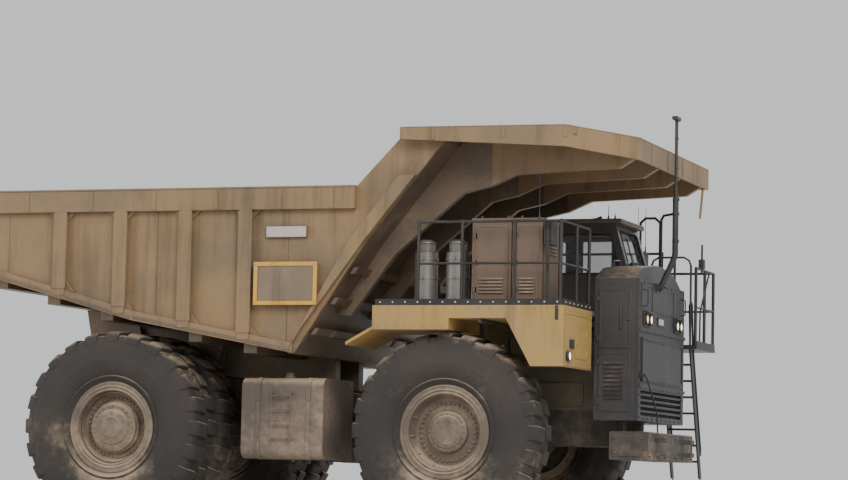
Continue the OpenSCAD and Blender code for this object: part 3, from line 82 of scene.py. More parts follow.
class Graph:
    """Places and links shader nodes in one tree."""

    def __init__(self, tree: Tree) -> None:
        """Keeps the tree to fill."""
        self.tree = tree
        self.count = 0

    def node(self, kind: str, **settings: object) -> Node:
        """Adds a node and sets its attributes.

        Args:
            kind: the node's type name.
            settings: attributes to set on it.
        Returns:
            The new node.
        """
        made = self.tree.nodes.new(kind)
        made.location = (self.count % 8 * 190, -(self.count // 8) * 260)
        self.count += 1
        for key, value in settings.items():
            setattr(made, key, value)
        return made

    def link(self, source: Socket, target: Socket) -> None:
        """Links an output to an input."""
        self.tree.links.new(source, target)

    def put(self, target: Socket, value: object) -> None:
        """Links a socket, or sets a plain value.

        Args:
            target: the input to feed.
            value: an output socket or a plain value.
        """
        if isinstance(value, Socket):
            self.link(value, target)
        else:
            target.default_value = value

    def math(self, operation: str, a: object, b: object = 0.0, clamp: bool = False) -> Socket:
        """Adds a math node.

        Args:
            operation: the operation's name.
            a: first value or socket.
            b: second value or socket.
            clamp: whether the result is kept between 0 and 1.
        Returns:
            The result's socket.
        """
        made = self.node("ShaderNodeMath", operation=operation, use_clamp=clamp)
        self.put(made.inputs[0], a)
        self.put(made.inputs[1], b)
        return made.outputs[0]

    def mix(self, factor: object, a: object, b: object) -> Socket:
        """Mixes two colours.

        Args:
            factor: how much of the second colour shows.
            a: first colour or socket.
            b: second colour or socket.
        Returns:
            The mixed colour's socket.
        """
        made = self.node("ShaderNodeMix", data_type="RGBA")
        self.put(made.inputs[0], factor)
        self.put(made.inputs[6], (*a, 1.0) if isinstance(a, tuple) else a)
        self.put(made.inputs[7], (*b, 1.0) if isinstance(b, tuple) else b)
        return made.outputs[2]

    def blend(self, factor: object, a: object, b: object) -> Socket:
        """Mixes two numbers.

        Args:
            factor: how much of the second number counts.
            a: first number or socket.
            b: second number or socket.
        Returns:
            The mixed number's socket.
        """
        made = self.node("ShaderNodeMix", data_type="FLOAT")
        self.put(made.inputs[0], factor)
        self.put(made.inputs[2], a)
        self.put(made.inputs[3], b)
        return made.outputs[0]

    def noise(self, vector: object, scale: object, detail: float = 4.0, rough: float = 0.55) -> Socket:
        """Adds a noise texture.

        Args:
            vector: the coordinates' socket.
            scale: size of the pattern.
            detail: number of octaves.
            rough: strength of the small octaves.
        Returns:
            The noise value's socket.
        """
        made = self.node("ShaderNodeTexNoise")
        self.put(made.inputs["Vector"], vector)
        self.put(made.inputs["Scale"], scale)
        made.inputs["Detail"].default_value = detail
        made.inputs["Roughness"].default_value = rough
        return made.outputs["Fac"]

    def step(self, value: object, low: object, high: object) -> Socket:
        """Maps a value smoothly from 0 at low to 1 at high.

        Args:
            value: the socket to map.
            low: where the result is 0.
            high: where the result is 1.
        Returns:
            The mapped value's socket.
        """
        made = self.node("ShaderNodeMapRange", interpolation_type="SMOOTHSTEP")
        self.put(made.inputs[0], value)
        self.put(made.inputs[1], low)
        self.put(made.inputs[2], high)
        return made.outputs[0]

    def stretched(self, vector: object, scale: Point) -> Socket:
        """Scales coordinates by axis.

        Args:
            vector: the coordinates' socket.
            scale: the factors along X, Y and Z.
        Returns:
            The scaled coordinates' socket.
        """
        made = self.node("ShaderNodeMapping")
        self.put(made.inputs["Vector"], vector)
        made.inputs["Scale"].default_value = scale
        return made.outputs[0]


class Effects:
    """Shader node groups that several finishes share."""

    made: dict[str, Tree] = {}

    @classmethod
    def group(
        cls, name: str, inputs: dict[str, float], output: str, fill: Callable[[Graph, Node], object]
    ) -> Tree:
        """Makes a group once and returns it.

        Args:
            name: the group's name.
            inputs: names and default values of its inputs.
            output: name of its output.
            fill: draws the inside and returns the socket that goes out.
        Returns:
            The group's tree.
        """
        if name in cls.made:
            return cls.made[name]
        tree = bpy.data.node_groups.new(name, "ShaderNodeTree")
        tree.interface.new_socket("Vector", in_out="INPUT", socket_type="NodeSocketVector")
        for key, value in inputs.items():
            tree.interface.new_socket(key, in_out="INPUT", socket_type="NodeSocketFloat").default_value = value
        tree.interface.new_socket(output, in_out="OUTPUT", socket_type="NodeSocketFloat")
        graph = Graph(tree)
        start = graph.node("NodeGroupInput")
        end = graph.node("NodeGroupOutput")
        graph.link(fill(graph, start), end.inputs[0])
        cls.made[name] = tree
        return tree

    @classmethod
    def place(cls, graph: Graph, tree: Tree, vector: object, **values: float) -> Socket:
        """Places a group in a material with its own values.

        Args:
            graph: the material's graph.
            tree: the group.
            vector: the coordinates' socket.
            values: values of the inputs by name.
        Returns:
            The group's output socket.
        """
        made = graph.node("ShaderNodeGroup", node_tree=tree)
        graph.put(made.inputs["Vector"], vector)
        for key, value in values.items():
            made.inputs[key.capitalize()].default_value = value
        return made.outputs[0]

    @classmethod
    def dust(cls) -> Tree:
        """Dust that lies on upward faces, gathers low down and settles in clouds.

        Returns:
            The group's tree.
        """

        def fill(graph: Graph, start: Node) -> Socket:
            """Draws the group."""
            parts = graph.node("ShaderNodeSeparateXYZ")
            graph.link(start.outputs["Vector"], parts.inputs[0])
            facing = graph.node("ShaderNodeSeparateXYZ")
            graph.link(graph.node("ShaderNodeTexCoord").outputs["Normal"], facing.inputs[0])
            cloud = graph.noise(start.outputs["Vector"], start.outputs["Scale"], 6.0, 0.6)
            fine = graph.noise(start.outputs["Vector"], graph.math("MULTIPLY", start.outputs["Scale"], 9.0), 5.0, 0.65)
            up = graph.step(facing.outputs["Z"], 0.1, 0.9)
            low = graph.step(parts.outputs["Z"], 4.2, 0.4)
            body = graph.math("ADD", graph.math("MULTIPLY", cloud, 0.75), graph.math("MULTIPLY", fine, 0.35))
            body = graph.math("ADD", body, graph.math("MULTIPLY", up, 0.35))
            body = graph.math("ADD", body, graph.math("MULTIPLY", low, 0.2))
            threshold = graph.math("SUBTRACT", 1.05, start.outputs["Amount"])
            top = graph.math("ADD", threshold, 0.45)
            return graph.step(body, threshold, top)

        return cls.group("dust cover", {"Scale": 0.9, "Amount": 0.5}, "Mask", fill)

    @classmethod
    def wear(cls) -> Tree:
        """Paint worn off along edges.

        Returns:
            The group's tree.
        """

        def fill(graph: Graph, start: Node) -> Socket:
            """Draws the group."""
            bevel = graph.node("ShaderNodeBevel", samples=4)
            graph.link(start.outputs["Radius"], bevel.inputs["Radius"])
            sharp = graph.node("ShaderNodeNewGeometry")
            dot = graph.node("ShaderNodeVectorMath", operation="DOT_PRODUCT")
            graph.link(bevel.outputs[0], dot.inputs[0])
            graph.link(sharp.outputs["Normal"], dot.inputs[1])
            edge = graph.step(dot.outputs["Value"], 0.995, 0.86)
            patchy = graph.noise(start.outputs["Vector"], 7.0, 6.0, 0.7)
            low = graph.math("SUBTRACT", 0.95, start.outputs["Amount"])
            broken = graph.step(patchy, low, graph.math("ADD", low, 0.12))
            return graph.math("MULTIPLY", edge, broken, clamp=True)

        return cls.group("edge wear", {"Radius": 0.03, "Amount": 0.4}, "Mask", fill)

    @classmethod
    def streaks(cls) -> Tree:
        """Dirt that has run down upright faces.

        Returns:
            The group's tree.
        """

        def fill(graph: Graph, start: Node) -> Socket:
            """Draws the group."""
            tall = graph.stretched(start.outputs["Vector"], (5.0, 5.0, 0.35))
            runs = graph.noise(tall, 1.0, 5.0, 0.6)
            spread = graph.noise(start.outputs["Vector"], 0.7, 3.0, 0.5)
            both = graph.math("MULTIPLY", runs, graph.math("ADD", spread, 0.5))
            low = graph.math("SUBTRACT", 0.75, start.outputs["Amount"])
            return graph.step(both, low, graph.math("ADD", low, 0.3))

        return cls.group("run streaks", {"Amount": 0.3}, "Mask", fill)

    @classmethod
    def grain(cls) -> Tree:
        """Fine unevenness of a surface: small grain over wide dents.

        Returns:
            The group's tree.
        """

        def fill(graph: Graph, start: Node) -> Socket:
            """Draws the group."""
            small = graph.noise(start.outputs["Vector"], start.outputs["Scale"], 6.0, 0.65)
            wide = graph.noise(start.outputs["Vector"], graph.math("MULTIPLY", start.outputs["Scale"], 0.06), 3.0, 0.5)
            dents = graph.math("MULTIPLY", wide, start.outputs["Dents"])
            return graph.math("ADD", graph.math("MULTIPLY", small, 0.35), dents)

        return cls.group("surface grain", {"Scale": 60.0, "Dents": 1.0}, "Height", fill)


class Coat:
    """A material whose nodes end in one shader."""

    name: str

    def draw(self, graph: Graph, where: Socket) -> Node:
        """Draws the nodes and returns the shader, in each kind's own way."""
        raise NotImplementedError

    def build(self) -> Material:
        """Makes the material.

        Returns:
            The new material.
        """
        material = bpy.data.materials.new(self.name)
        material.use_nodes = True
        material.node_tree.nodes.clear()
        graph = Graph(material.node_tree)
        shader = self.draw(graph, graph.node("ShaderNodeTexCoord").outputs["Object"])
        end = graph.node("ShaderNodeOutputMaterial")
        graph.link(shader.outputs[0], end.inputs[0])
        return material


class Relief(Enum):
    """An extra raised pattern on a finish."""

    PLAIN = 0
    TREAD_PLATE = 1
    WEAVE = 2
    CAST = 3


@dataclass(frozen=True)
class Finish(Coat):
    """A dusty working finish: colour with patches, streaks, dust, worn edges and grain."""

    name: str
    base: Colour
    patch: Colour
    rough: float = 0.6
    metal: float = 0.0
    dust: float = 0.45
    wear: float = 0.3
    streak: float = 0.2
    grain: float = 60.0
    dents: float = 1.0
    bump: float = 0.35
    edge: float = 0.012
    bare: Colour = (0.20, 0.18, 0.16)
    dust_colour: Colour = (0.40, 0.295, 0.20)
    relief: Relief = Relief.PLAIN

    def draw(self, graph: Graph, where: Socket) -> Node:
        """Draws the nodes and returns the shader."""
        patches = graph.step(graph.noise(where, 0.8, 5.0, 0.6), 0.38, 0.66)
        colour = graph.mix(patches, self.base, self.patch)
        if self.streak:
            runs = Effects.place(graph, Effects.streaks(), where, amount=self.streak)
            dark = tuple(0.45 * c for c in self.base)
            colour = graph.mix(graph.math("MULTIPLY", runs, 0.6), colour, dark)
        shader = graph.node("ShaderNodeBsdfPrincipled")
        rough: object = self.rough
        if self.wear:
            worn = Effects.place(graph, Effects.wear(), where, amount=self.wear, radius=self.edge * 2.5)
            colour = graph.mix(worn, colour, self.bare)
            graph.put(shader.inputs["Metallic"], graph.blend(worn, self.metal, 0.8))
            rough = graph.blend(worn, rough, 0.42)
        else:
            shader.inputs["Metallic"].default_value = self.metal
        tone = graph.noise(where, 22.0, 5.0, 0.7)
        fine = graph.blend(tone, 0.82, 1.16)
        colour = graph.mix(1.0, colour, self.scaled(graph, colour, fine))
        if self.dust:
            cover = Effects.place(graph, Effects.dust(), where, amount=self.dust)
            pale = tuple(min(1.0, 1.22 * c) for c in self.dust_colour)
            colour = graph.mix(cover, colour, graph.mix(tone, self.dust_colour, pale))
            rough = graph.blend(cover, rough, 0.93)
        graph.put(shader.inputs["Base Color"], colour)
        graph.put(shader.inputs["Roughness"], rough)
        graph.put(shader.inputs["Normal"], self.normal(graph, where))
        return shader

    @staticmethod
    def scaled(graph: Graph, colour: object, factor: object) -> Socket:
        """Multiplies a colour by a number.

        Args:
            graph: the material's graph.
            colour: the colour's socket.
            factor: the number's socket.
        Returns:
            The product's socket.
        """
        made = graph.node("ShaderNodeVectorMath", operation="SCALE")
        graph.put(made.inputs[0], colour)
        graph.put(made.inputs["Scale"], factor)
        return made.outputs[0]

    def normal(self, graph: Graph, where: object) -> Socket:
        """Draws the rounded edges, grain and relief.

        Args:
            graph: the material's graph.
            where: the coordinates' socket.
        Returns:
            The normal's socket.
        """
        height = Effects.place(graph, Effects.grain(), where, scale=self.grain, dents=self.dents)
        if self.relief is Relief.TREAD_PLATE:
            height = graph.math("ADD", height, self.lozenges(graph, where))
        if self.relief is Relief.WEAVE:
            height = graph.math("ADD", height, self.weave(graph, where))
        if self.relief is Relief.CAST:
            pits = graph.node("ShaderNodeTexVoronoi")
            graph.put(pits.inputs["Vector"], where)
            pits.inputs["Scale"].default_value = 90.0
            height = graph.math("ADD", height, graph.math("MULTIPLY", pits.outputs["Distance"], 0.5))
        bump = graph.node("ShaderNodeBump")
        bump.inputs["Strength"].default_value = self.bump
        bump.inputs["Distance"].default_value = 0.01
        graph.link(height, bump.inputs["Height"])
        if self.edge:
            round_edge = graph.node("ShaderNodeBevel", samples=4)
            round_edge.inputs["Radius"].default_value = self.edge
            graph.link(round_edge.outputs[0], bump.inputs["Normal"])
        return bump.outputs[0]

    @staticmethod
    def lozenges(graph: Graph, where: object) -> Socket:
        """Draws the raised lozenges of tread plate."""
        turned = graph.node("ShaderNodeMapping")
        graph.put(turned.inputs["Vector"], where)
        turned.inputs["Rotation"].default_value = (0.0, 0.0, radians(45.0))
        bricks = graph.node("ShaderNodeTexBrick")
        graph.link(turned.outputs[0], bricks.inputs["Vector"])
        bricks.inputs["Scale"].default_value = 16.0
        bricks.inputs["Mortar Size"].default_value = 0.12
        bricks.inputs["Color1"].default_value = (1.0, 1.0, 1.0, 1.0)
        bricks.inputs["Color2"].default_value = (0.8, 0.8, 0.8, 1.0)
        return graph.math("MULTIPLY", bricks.outputs["Color"], 0.8)

    @staticmethod
    def weave(graph: Graph, where: object) -> Socket:
        """Draws the threads of a coarse cloth."""
        first = graph.node("ShaderNodeTexWave", bands_direction="X")
        second = graph.node("ShaderNodeTexWave", bands_direction="Y")
        for wave in (first, second):
            graph.put(wave.inputs["Vector"], where)
            wave.inputs["Scale"].default_value = 90.0
        return graph.math("MULTIPLY", first.outputs["Fac"], second.outputs["Fac"])


@dataclass(frozen=True)
class Glass(Coat):
    """Tinted, dusty window glass."""

    name: str = "dusty window glass"
    tint: Colour = (0.16, 0.17, 0.16)
    dust: float = 0.38

    def draw(self, graph: Graph, where: Socket) -> Node:
        """Draws the nodes and returns the shader."""
        cover = Effects.place(graph, Effects.dust(), where, amount=self.dust, scale=1.6)
        shader = graph.node("ShaderNodeBsdfPrincipled")
        shader.inputs["IOR"].default_value = 1.5
        shader.inputs["Metallic"].default_value = 0.0
        graph.put(shader.inputs["Base Color"], graph.mix(cover, self.tint, (0.42, 0.33, 0.24)))
        graph.put(shader.inputs["Roughness"], graph.blend(cover, 0.06, 0.85))
        graph.put(shader.inputs["Alpha"], graph.blend(cover, 0.24, 0.85))
        return shader


@dataclass(frozen=True)
class Lit(Coat):
    """A lamp's glowing lens, brighter at its middle ribs."""

    name: str
    colour: Colour
    strength: float

    def draw(self, graph: Graph, where: Socket) -> Node:
        """Draws the nodes and returns the shader."""
        ribs = graph.node("ShaderNodeTexWave", bands_direction="Y")
        graph.put(ribs.inputs["Vector"], where)
        ribs.inputs["Scale"].default_value = 26.0
        shader = graph.node("ShaderNodeBsdfPrincipled")
        pale = tuple(min(1.0, c * 1.15) for c in self.colour)
        glow = graph.mix(ribs.outputs["Fac"], self.colour, pale)
        graph.put(shader.inputs["Base Color"], glow)
        graph.put(shader.inputs["Emission Color"], glow)
        shader.inputs["Emission Strength"].default_value = self.strength
        shader.inputs["Roughness"].default_value = 0.15
        bump = graph.node("ShaderNodeBump")
        bump.inputs["Strength"].default_value = 0.3
        graph.link(ribs.outputs["Fac"], bump.inputs["Height"])
        graph.link(bump.outputs[0], shader.inputs["Normal"])
        return shader


FINISHES: dict[str, Coat] = {
    "frame_steel": Finish("dusty frame steel", (0.055, 0.045, 0.038), (0.085, 0.07, 0.055), dust=0.42),
    "axle_iron": Finish("dusty axle casting", (0.06, 0.05, 0.042), (0.09, 0.075, 0.06), dust=0.46, relief=Relief.CAST),
    "strut_steel": Finish("oily strut steel", (0.30, 0.29, 0.27), (0.22, 0.20, 0.18), rough=0.35, metal=0.8, dust=0.2),
    "engine_iron": Finish("engine paint", (0.16, 0.14, 0.09), (0.11, 0.095, 0.07), dust=0.4, relief=Relief.CAST),
    "hood_paint": Finish("dark hood paint", (0.035, 0.032, 0.032), (0.055, 0.048, 0.043), rough=0.45, dust=0.3),
    "grille_paint": Finish("dark grille paint", (0.028, 0.026, 0.026), (0.045, 0.04, 0.036), rough=0.5, dust=0.26),
    "lamp_lens": Lit("warm lamp lens", (1.0, 0.86, 0.6), 2.4),
    "fender_paint": Finish("dusty yellow paint", (0.43, 0.27, 0.075), (0.37, 0.245, 0.10), dust=0.44, wear=0.42),
    "deck_steel": Finish("tread plate", (0.09, 0.075, 0.06), (0.12, 0.10, 0.08), dust=0.55, relief=Relief.TREAD_PLATE),
    "rail_paint": Finish("worn rail paint", (0.022, 0.02, 0.019), (0.04, 0.034, 0.03), rough=0.5, dust=0.25, edge=0.0),
    "cab_paint": Finish("dark cab paint", (0.05, 0.044, 0.042), (0.075, 0.065, 0.058), rough=0.45, dust=0.34),
    "roof_paint": Finish("dusty roof paint", (0.17, 0.15, 0.13), (0.13, 0.115, 0.10), dust=0.55),
    "cab_glass": Glass(),
    "seat_cloth": Finish("seat cloth", (0.025, 0.025, 0.03), (0.035, 0.033, 0.036), rough=0.9, dust=0.2, wear=0.0,
                         streak=0.0, relief=Relief.WEAVE),
    "cab_plastic": Finish("grained plastic", (0.03, 0.03, 0.031), (0.04, 0.038, 0.037), rough=0.6, dust=0.22, wear=0.0,
                          streak=0.0, grain=180.0),
    "cabinet_paint": Finish("dusty cabinet paint", (0.16, 0.105, 0.07), (0.12, 0.085, 0.06), dust=0.4),
    "cleaner_steel": Finish("dusty bright steel", (0.27, 0.25, 0.225), (0.20, 0.18, 0.16), rough=0.4, metal=0.5,
                            dust=0.34),
    "tank_paint": Finish("dusty tank paint", (0.11, 0.085, 0.065), (0.15, 0.115, 0.085), dust=0.48),
    "bed_steel": Finish("scoured bed steel", (0.19, 0.135, 0.09), (0.13, 0.10, 0.075), rough=0.5, metal=0.35, dust=0.5),
    "bed_paint": Finish("faded bed paint", (0.29, 0.185, 0.088), (0.22, 0.148, 0.083), dust=0.46, wear=0.45, streak=0.3,
                        dents=2.4),
    "hoist_paint": Finish("hoist paint", (0.10, 0.085, 0.065), (0.07, 0.06, 0.05), dust=0.4),
    "rod_chrome": Finish("polished rod", (0.62, 0.61, 0.59), (0.52, 0.50, 0.47), rough=0.14, metal=1.0, dust=0.12,
                         wear=0.0, streak=0.0, bump=0.08),
    "link_iron": Finish("dusty link casting", (0.07, 0.058, 0.048), (0.10, 0.085, 0.068), dust=0.44,
                        relief=Relief.CAST),
    "tyre_rubber": Finish("dusty tyre rubber", (0.040, 0.034, 0.030), (0.055, 0.046, 0.039), rough=0.85, dust=0.34,
                          wear=0.0, streak=0.0, grain=120.0, dents=0.4),
    "rim_paint": Finish("dusty rim paint", (0.15, 0.115, 0.08), (0.11, 0.088, 0.066), dust=0.46, edge=0.008),
}

BOARD_YELLOW = Finish("board frame yellow", (0.70, 0.40, 0.045), (0.62, 0.36, 0.07), dust=0.20, wear=0.3)
BOARD_FIELD = Finish("blank board field", (0.25, 0.185, 0.12), (0.20, 0.145, 0.095), dust=0.42, wear=0.2)
AMBER = Lit("amber lamp lens", (1.0, 0.55, 0.16), 1.6)
PALE_PLATE = Finish("pale enamel plate", (0.58, 0.54, 0.47), (0.50, 0.46, 0.40), dust=0.28, wear=0.2)
CORE_DARK = Finish("radiator fins", (0.018, 0.017, 0.016), (0.03, 0.027, 0.024), rough=0.6, metal=0.4, dust=0.18,
                   edge=0.0, wear=0.0)
MIRROR = Finish("dusty mirror glass", (0.72, 0.74, 0.76), (0.66, 0.68, 0.70), rough=0.05, metal=1.0, dust=0.22,
                wear=0.0, streak=0.0, bump=0.03, edge=0.0)


class Wardrobe:
    """Builds each finish once and hands it out by its slot."""

    def __init__(self) -> None:
        """Starts with no material built."""
        self.built: dict[str, Material] = {}

    def of(self, slot: str) -> Material:
        """Gives the material of one of the record's slots."""
        return self.custom(FINISHES[slot])

    def custom(self, finish: Coat) -> Material:
        """Gives the material of a finish, built at its first use."""
        if finish.name not in self.built:
            self.built[finish.name] = finish.build()
        return self.built[finish.name]

    def dress_nodes(self) -> None:
        """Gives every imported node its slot's material."""
        for row in frame["record"]["subparts"]:
            node = frame["nodes"][row["node"]]
            material = self.of(row["material_slot"])
            for holder in node.material_slots:
                holder.material = material
        log.info("packed nodes dressed: %d", len(frame["nodes"]))


class Mesh:
    """Collects simple solids in one mesh."""

    def __init__(self) -> None:
        """Starts an empty mesh."""
        self.bm = bmesh.new()

    def ring(self, points: Iterable[Place]) -> list[Vertex]:
        """Adds a row of points and returns its vertices."""
        return [self.bm.verts.new(p) for p in points]

    def face(self, corners: Sequence[Vertex]) -> None:
        """Adds one face."""
        self.bm.faces.new(corners)

    def skin(self, rows: Sequence[list[Vertex]], loop: bool = False, caps: bool = True) -> None:
        """Joins closed rows of equal length into a skin.

        Args:
            rows: the rows in order.
            loop: whether the last row joins the first.
            caps: whether the open ends are closed.
        """
        count = len(rows[0])
        last = len(rows) if loop else len(rows) - 1
        for i in range(last):
            a, b = rows[i], rows[(i + 1) % len(rows)]
            for j in range(count):
                k = (j + 1) % count
                self.face((a[j], a[k], b[k], b[j]))
        if caps and not loop:
            self.face(list(reversed(rows[0])))
            self.face(rows[-1])

    def box(self, low: Place, high: Place) -> None:
        """Adds a block between two opposite corners."""
        (x0, x1), (y0, y1), (z0, z1) = (sorted(pair) for pair in zip(low, high))
        self.skin([self.ring([(x0, y0, z), (x1, y0, z), (x1, y1, z), (x0, y1, z)]) for z in (z0, z1)])

    def cylinder(self, start: Place, end: Place, radius: float, sides: int = 24,
                 end_radius: float | None = None) -> None:
        """Adds a cylinder or cone between two points.

        Args:
            start: centre of the first end.
            end: centre of the second end.
            radius: radius of the first end.
            sides: number of sides.
            end_radius: radius of the second end, if it differs.
        """
        a, b = Vector(start), Vector(end)
        u, v = self.across((b - a).normalized())
        rows = []
        for centre, r in ((a, radius), (b, radius if end_radius is None else end_radius)):
            rows.append(self.ring([centre + r * (u * cos(t) + v * sin(t)) for t in turns(sides)]))
        self.skin(rows)

    @staticmethod
    def across(direction: Vector) -> tuple[Vector, Vector]:
        """Finds two directions at right angles to one.

        Args:
            direction: the axis.
        Returns:
            Two unit vectors, right-handed with the axis.
        """
        hint = Vector((0.0, 0.0, 1.0)) if abs(direction.z) < 0.9 else Vector((1.0, 0.0, 0.0))
        u = hint.cross(direction).normalized()
        return u, direction.cross(u)

    def tube(self, path: Sequence[Place], radius: float, sides: int = 10) -> None:
        """Adds a round bar along a path.

        Args:
            path: points of its middle line.
            radius: its radius.
            sides: number of sides.
        """
        points = [Vector(p) for p in path]
        u: Vector | None = None
        rows = []
        for i, point in enumerate(points):
            ahead = points[min(i + 1, len(points) - 1)] - points[max(i - 1, 0)]
            axis = ahead.normalized()
            if u is None:
                u, v = self.across(axis)
            else:
                u = (u - axis * u.dot(axis)).normalized()
                v = axis.cross(u)
            rows.append(self.ring([point + radius * (u * cos(t) + v * sin(t)) for t in turns(sides)]))
        self.skin(rows)

    def lathe(self, centre: Place, profile: Outline, sides: int = 96, sign: float = 1.0) -> None:
        """Turns a closed outline round an axis along Y.

        Args:
            centre: a point on the axis.
            profile: pairs of radius and distance outward along Y.
            sides: number of steps round.
            sign: 1 if outward is +Y, or -1.
        """
        rows = []
        for t in turns(sides):
            c, s = cos(t), sin(t)
            rows.append(self.ring([(centre[0] + r * c, centre[1] + sign * y, centre[2] + r * s) for r, y in profile]))
        self.skin(rows, loop=True)

    def prism(self, outline: Outline, axis: int, low: float, high: float) -> None:
        """Extrudes a flat outline along an axis.

        Args:
            outline: pairs of the two other coordinates, in X, Y, Z order.
            axis: 0, 1 or 2 for X, Y or Z.
            low: one end.
            high: the other end.
        """
        rows = []
        for level in sorted((low, high)):
            rows.append(self.ring([(*place[:axis], level, *place[axis:]) for place in outline]))
        self.skin(rows)

    def bolts(self, places: Iterable[Place], axis: Place, radius: float, height: float) -> None:
        """Adds hexagon heads.

        Args:
            places: their seats.
            axis: which way they stand.
            radius: radius over the corners.
            height: height of a head.
        """
        way = Vector(axis).normalized()
        for place in places:
            foot = Vector(place)
            self.cylinder(foot - way * 0.004, foot + way * height, radius, 6)

    def bolt_ring(self, centre: Place, axis: Place, radius: float, count: int, size: float, height: float,
                  start: float = 0.0) -> None:
        """Adds a circle of hexagon heads.

        Args:
            centre: the circle's middle, on the seat.
            axis: which way they stand, along X, Y or Z.
            radius: radius of the circle.
            count: how many.
            size: radius of a head over its corners.
            height: height of a head.
            start: angle of the first.
        """
        a, b = (i for i in range(3) if not axis[i])
        places = []
        for t in turns(count, start):
            place = list(centre)
            place[a] += radius * cos(t)
            place[b] += radius * sin(t)
            places.append(place)
        self.bolts(places, axis, size, height)

    def band(self, centre: Place, axis: Place, inner: float, outer: float, height: float, sides: int) -> None:
        """Adds a flat ring that rises along the axis from the middle of its foot."""
        self.spun(centre, axis, [(inner, 0), (outer, 0), (outer, height), (inner, height)], sides)

    def spun(self, centre: Place, axis: Place, profile: Outline, sides: int = 48) -> None:
        """Turns a closed outline round any axis.

        Args:
            centre: where the axis starts.
            axis: its direction.
            profile: pairs of radius and distance along the axis.
            sides: number of steps round.
        """
        way = Vector(axis).normalized()
        u, v = self.across(way)
        foot = Vector(centre)
        rows = []
        for t in turns(sides):
            arm = u * cos(t) + v * sin(t)
            rows.append(self.ring([foot + way * y + arm * max(r, 0.0005) for r, y in profile]))
        self.skin(rows, loop=True)

    def plate(self, axis: int, level: float, thick: float, low: Flat, high: Flat) -> None:
        """Adds a flat plate on a plane.

        Args:
            axis: which axis the plate faces, 0, 1 or 2.
            level: where its back lies on that axis.
            thick: its thickness, negative if it stands the other way.
            low: one corner in the two other axes.
            high: the opposite corner.
        """
        a, b = list(low), list(high)
        a.insert(axis, level)
        b.insert(axis, level + thick)
        self.box(a, b)

    def border(self, axis: int, level: float, thick: float, low: Flat, high: Flat, width: float) -> None:
        """Adds a frame of four strips on a plane.

        Args:
            axis: which axis the frame faces.
            level: where its back lies on that axis.
            thick: its thickness, with its direction.
            low: one outer corner.
            high: the opposite corner.
            width: width of a strip.
        """
        (a0, a1), (b0, b1) = (sorted(pair) for pair in zip(low, high))
        self.plate(axis, level, thick, (a0, b0), (a1, b0 + width))
        self.plate(axis, level, thick, (a0, b1 - width), (a1, b1))
        self.plate(axis, level, thick, (a0, b0 + width), (a0 + width, b1 - width))
        self.plate(axis, level, thick, (a1 - width, b0 + width), (a1, b1 - width))

    def louvres(self, axis: int, level: float, depth: float, low: Flat, high: Flat, count: int) -> None:
        """Adds slanted slats on an upright plane.

        Args:
            axis: which axis the plane faces, 0 or 1.
            level: where the plane lies.
            depth: how far the slats stand out, with their direction.
            low: lowest corner, along the slat and up.
            high: highest corner.
            count: number of slats.
        """
        pitch = (high[1] - low[1]) / count
        for i in range(count):
            z = low[1] + i * pitch
            outline = [(level - depth * 0.2, z + 0.85 * pitch), (level + depth, z + 0.25 * pitch),
                       (level + depth, z + 0.1 * pitch), (level - depth * 0.2, z + 0.7 * pitch)]
            self.prism(outline, 1 - axis, low[0], high[0])

    def handle(self, start: Place, end: Place, out: Place, radius: float = 0.014) -> None:
        """Adds a bent grab handle with both feet on a face.

        Args:
            start: seat of the first foot.
            end: seat of the second foot.
            out: how far and which way it stands out.
            radius: radius of the bar.
        """
        a, b, o = Vector(start), Vector(end), Vector(out)
        turn = (b - a).normalized() * o.length * 0.5
        self.tube([a, a + o * 0.6, a + o * 0.9 + turn * 0.3, a + o + turn, b + o - turn, b + o * 0.9 - turn * 0.3,
                   b + o * 0.6, b], radius, 10)

    def bolt_row(self, start: Place, end: Place, count: int, axis: Place,
                 radius: float = 0.014, height: float = 0.014) -> None:
        """Adds a straight row of hexagon heads from the first seat to the last."""
        a, b = Vector(start), Vector(end)
        self.bolts([a.lerp(b, i / (count - 1)) for i in range(count)], axis, radius, height)

    def make(self, name: str, bevel: float = 0.0, smooth: float = 35.0) -> Object:
        """Turns what was collected into an object.

        Args:
            name: the piece's name.
            bevel: width of the bevel on sharp edges, or 0.
            smooth: angle under which faces shade smoothly, in degrees.
        Returns:
            The new object.
        """
        bmesh.ops.recalc_face_normals(self.bm, faces=self.bm.faces)
        data = bpy.data.meshes.new(name)
        self.bm.to_mesh(data)
        self.bm.free()
        data.shade_smooth()
        data.set_sharp_from_angle(angle=radians(smooth))
        made = bpy.data.objects.new(name, data)
        bpy.context.scene.collection.objects.link(made)
        if bevel:
            modifier = made.modifiers.new("bevel", "BEVEL")
            modifier.width = bevel
            modifier.segments = 2
            modifier.limit_method = "ANGLE"
            modifier.angle_limit = radians(40.0)
        return made


def turns(count: int, offset: float = 0.0) -> list[float]:
    """Even angles round a full turn, in radians, from the offset on."""
    return [offset + 2.0 * pi * i / count for i in range(count)]


@dataclass
class Assembly:
    """A sub-assembly that makes pieces and sets them on their bodies."""

    wardrobe: Wardrobe

    def add(self, mesh: Mesh, name: str, slot: str, body: str = "chassis", bevel: float = 0.0, smooth: float = 35.0,
            replaces: Sequence[str] = (), finish: Coat | None = None) -> Object:
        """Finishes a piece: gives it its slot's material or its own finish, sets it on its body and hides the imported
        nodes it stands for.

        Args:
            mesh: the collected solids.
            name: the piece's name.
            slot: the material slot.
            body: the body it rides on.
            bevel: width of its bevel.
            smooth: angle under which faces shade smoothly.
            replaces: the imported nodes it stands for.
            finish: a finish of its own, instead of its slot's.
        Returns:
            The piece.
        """
        made = mesh.make(name, bevel, smooth)
        made.data.materials.append(self.wardrobe.custom(finish) if finish else self.wardrobe.of(slot))
        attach(made, body)
        if replaces:
            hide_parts(*replaces)
        log.info("%s on %s: %d faces", name, body, len(made.data.polygons))
        return made


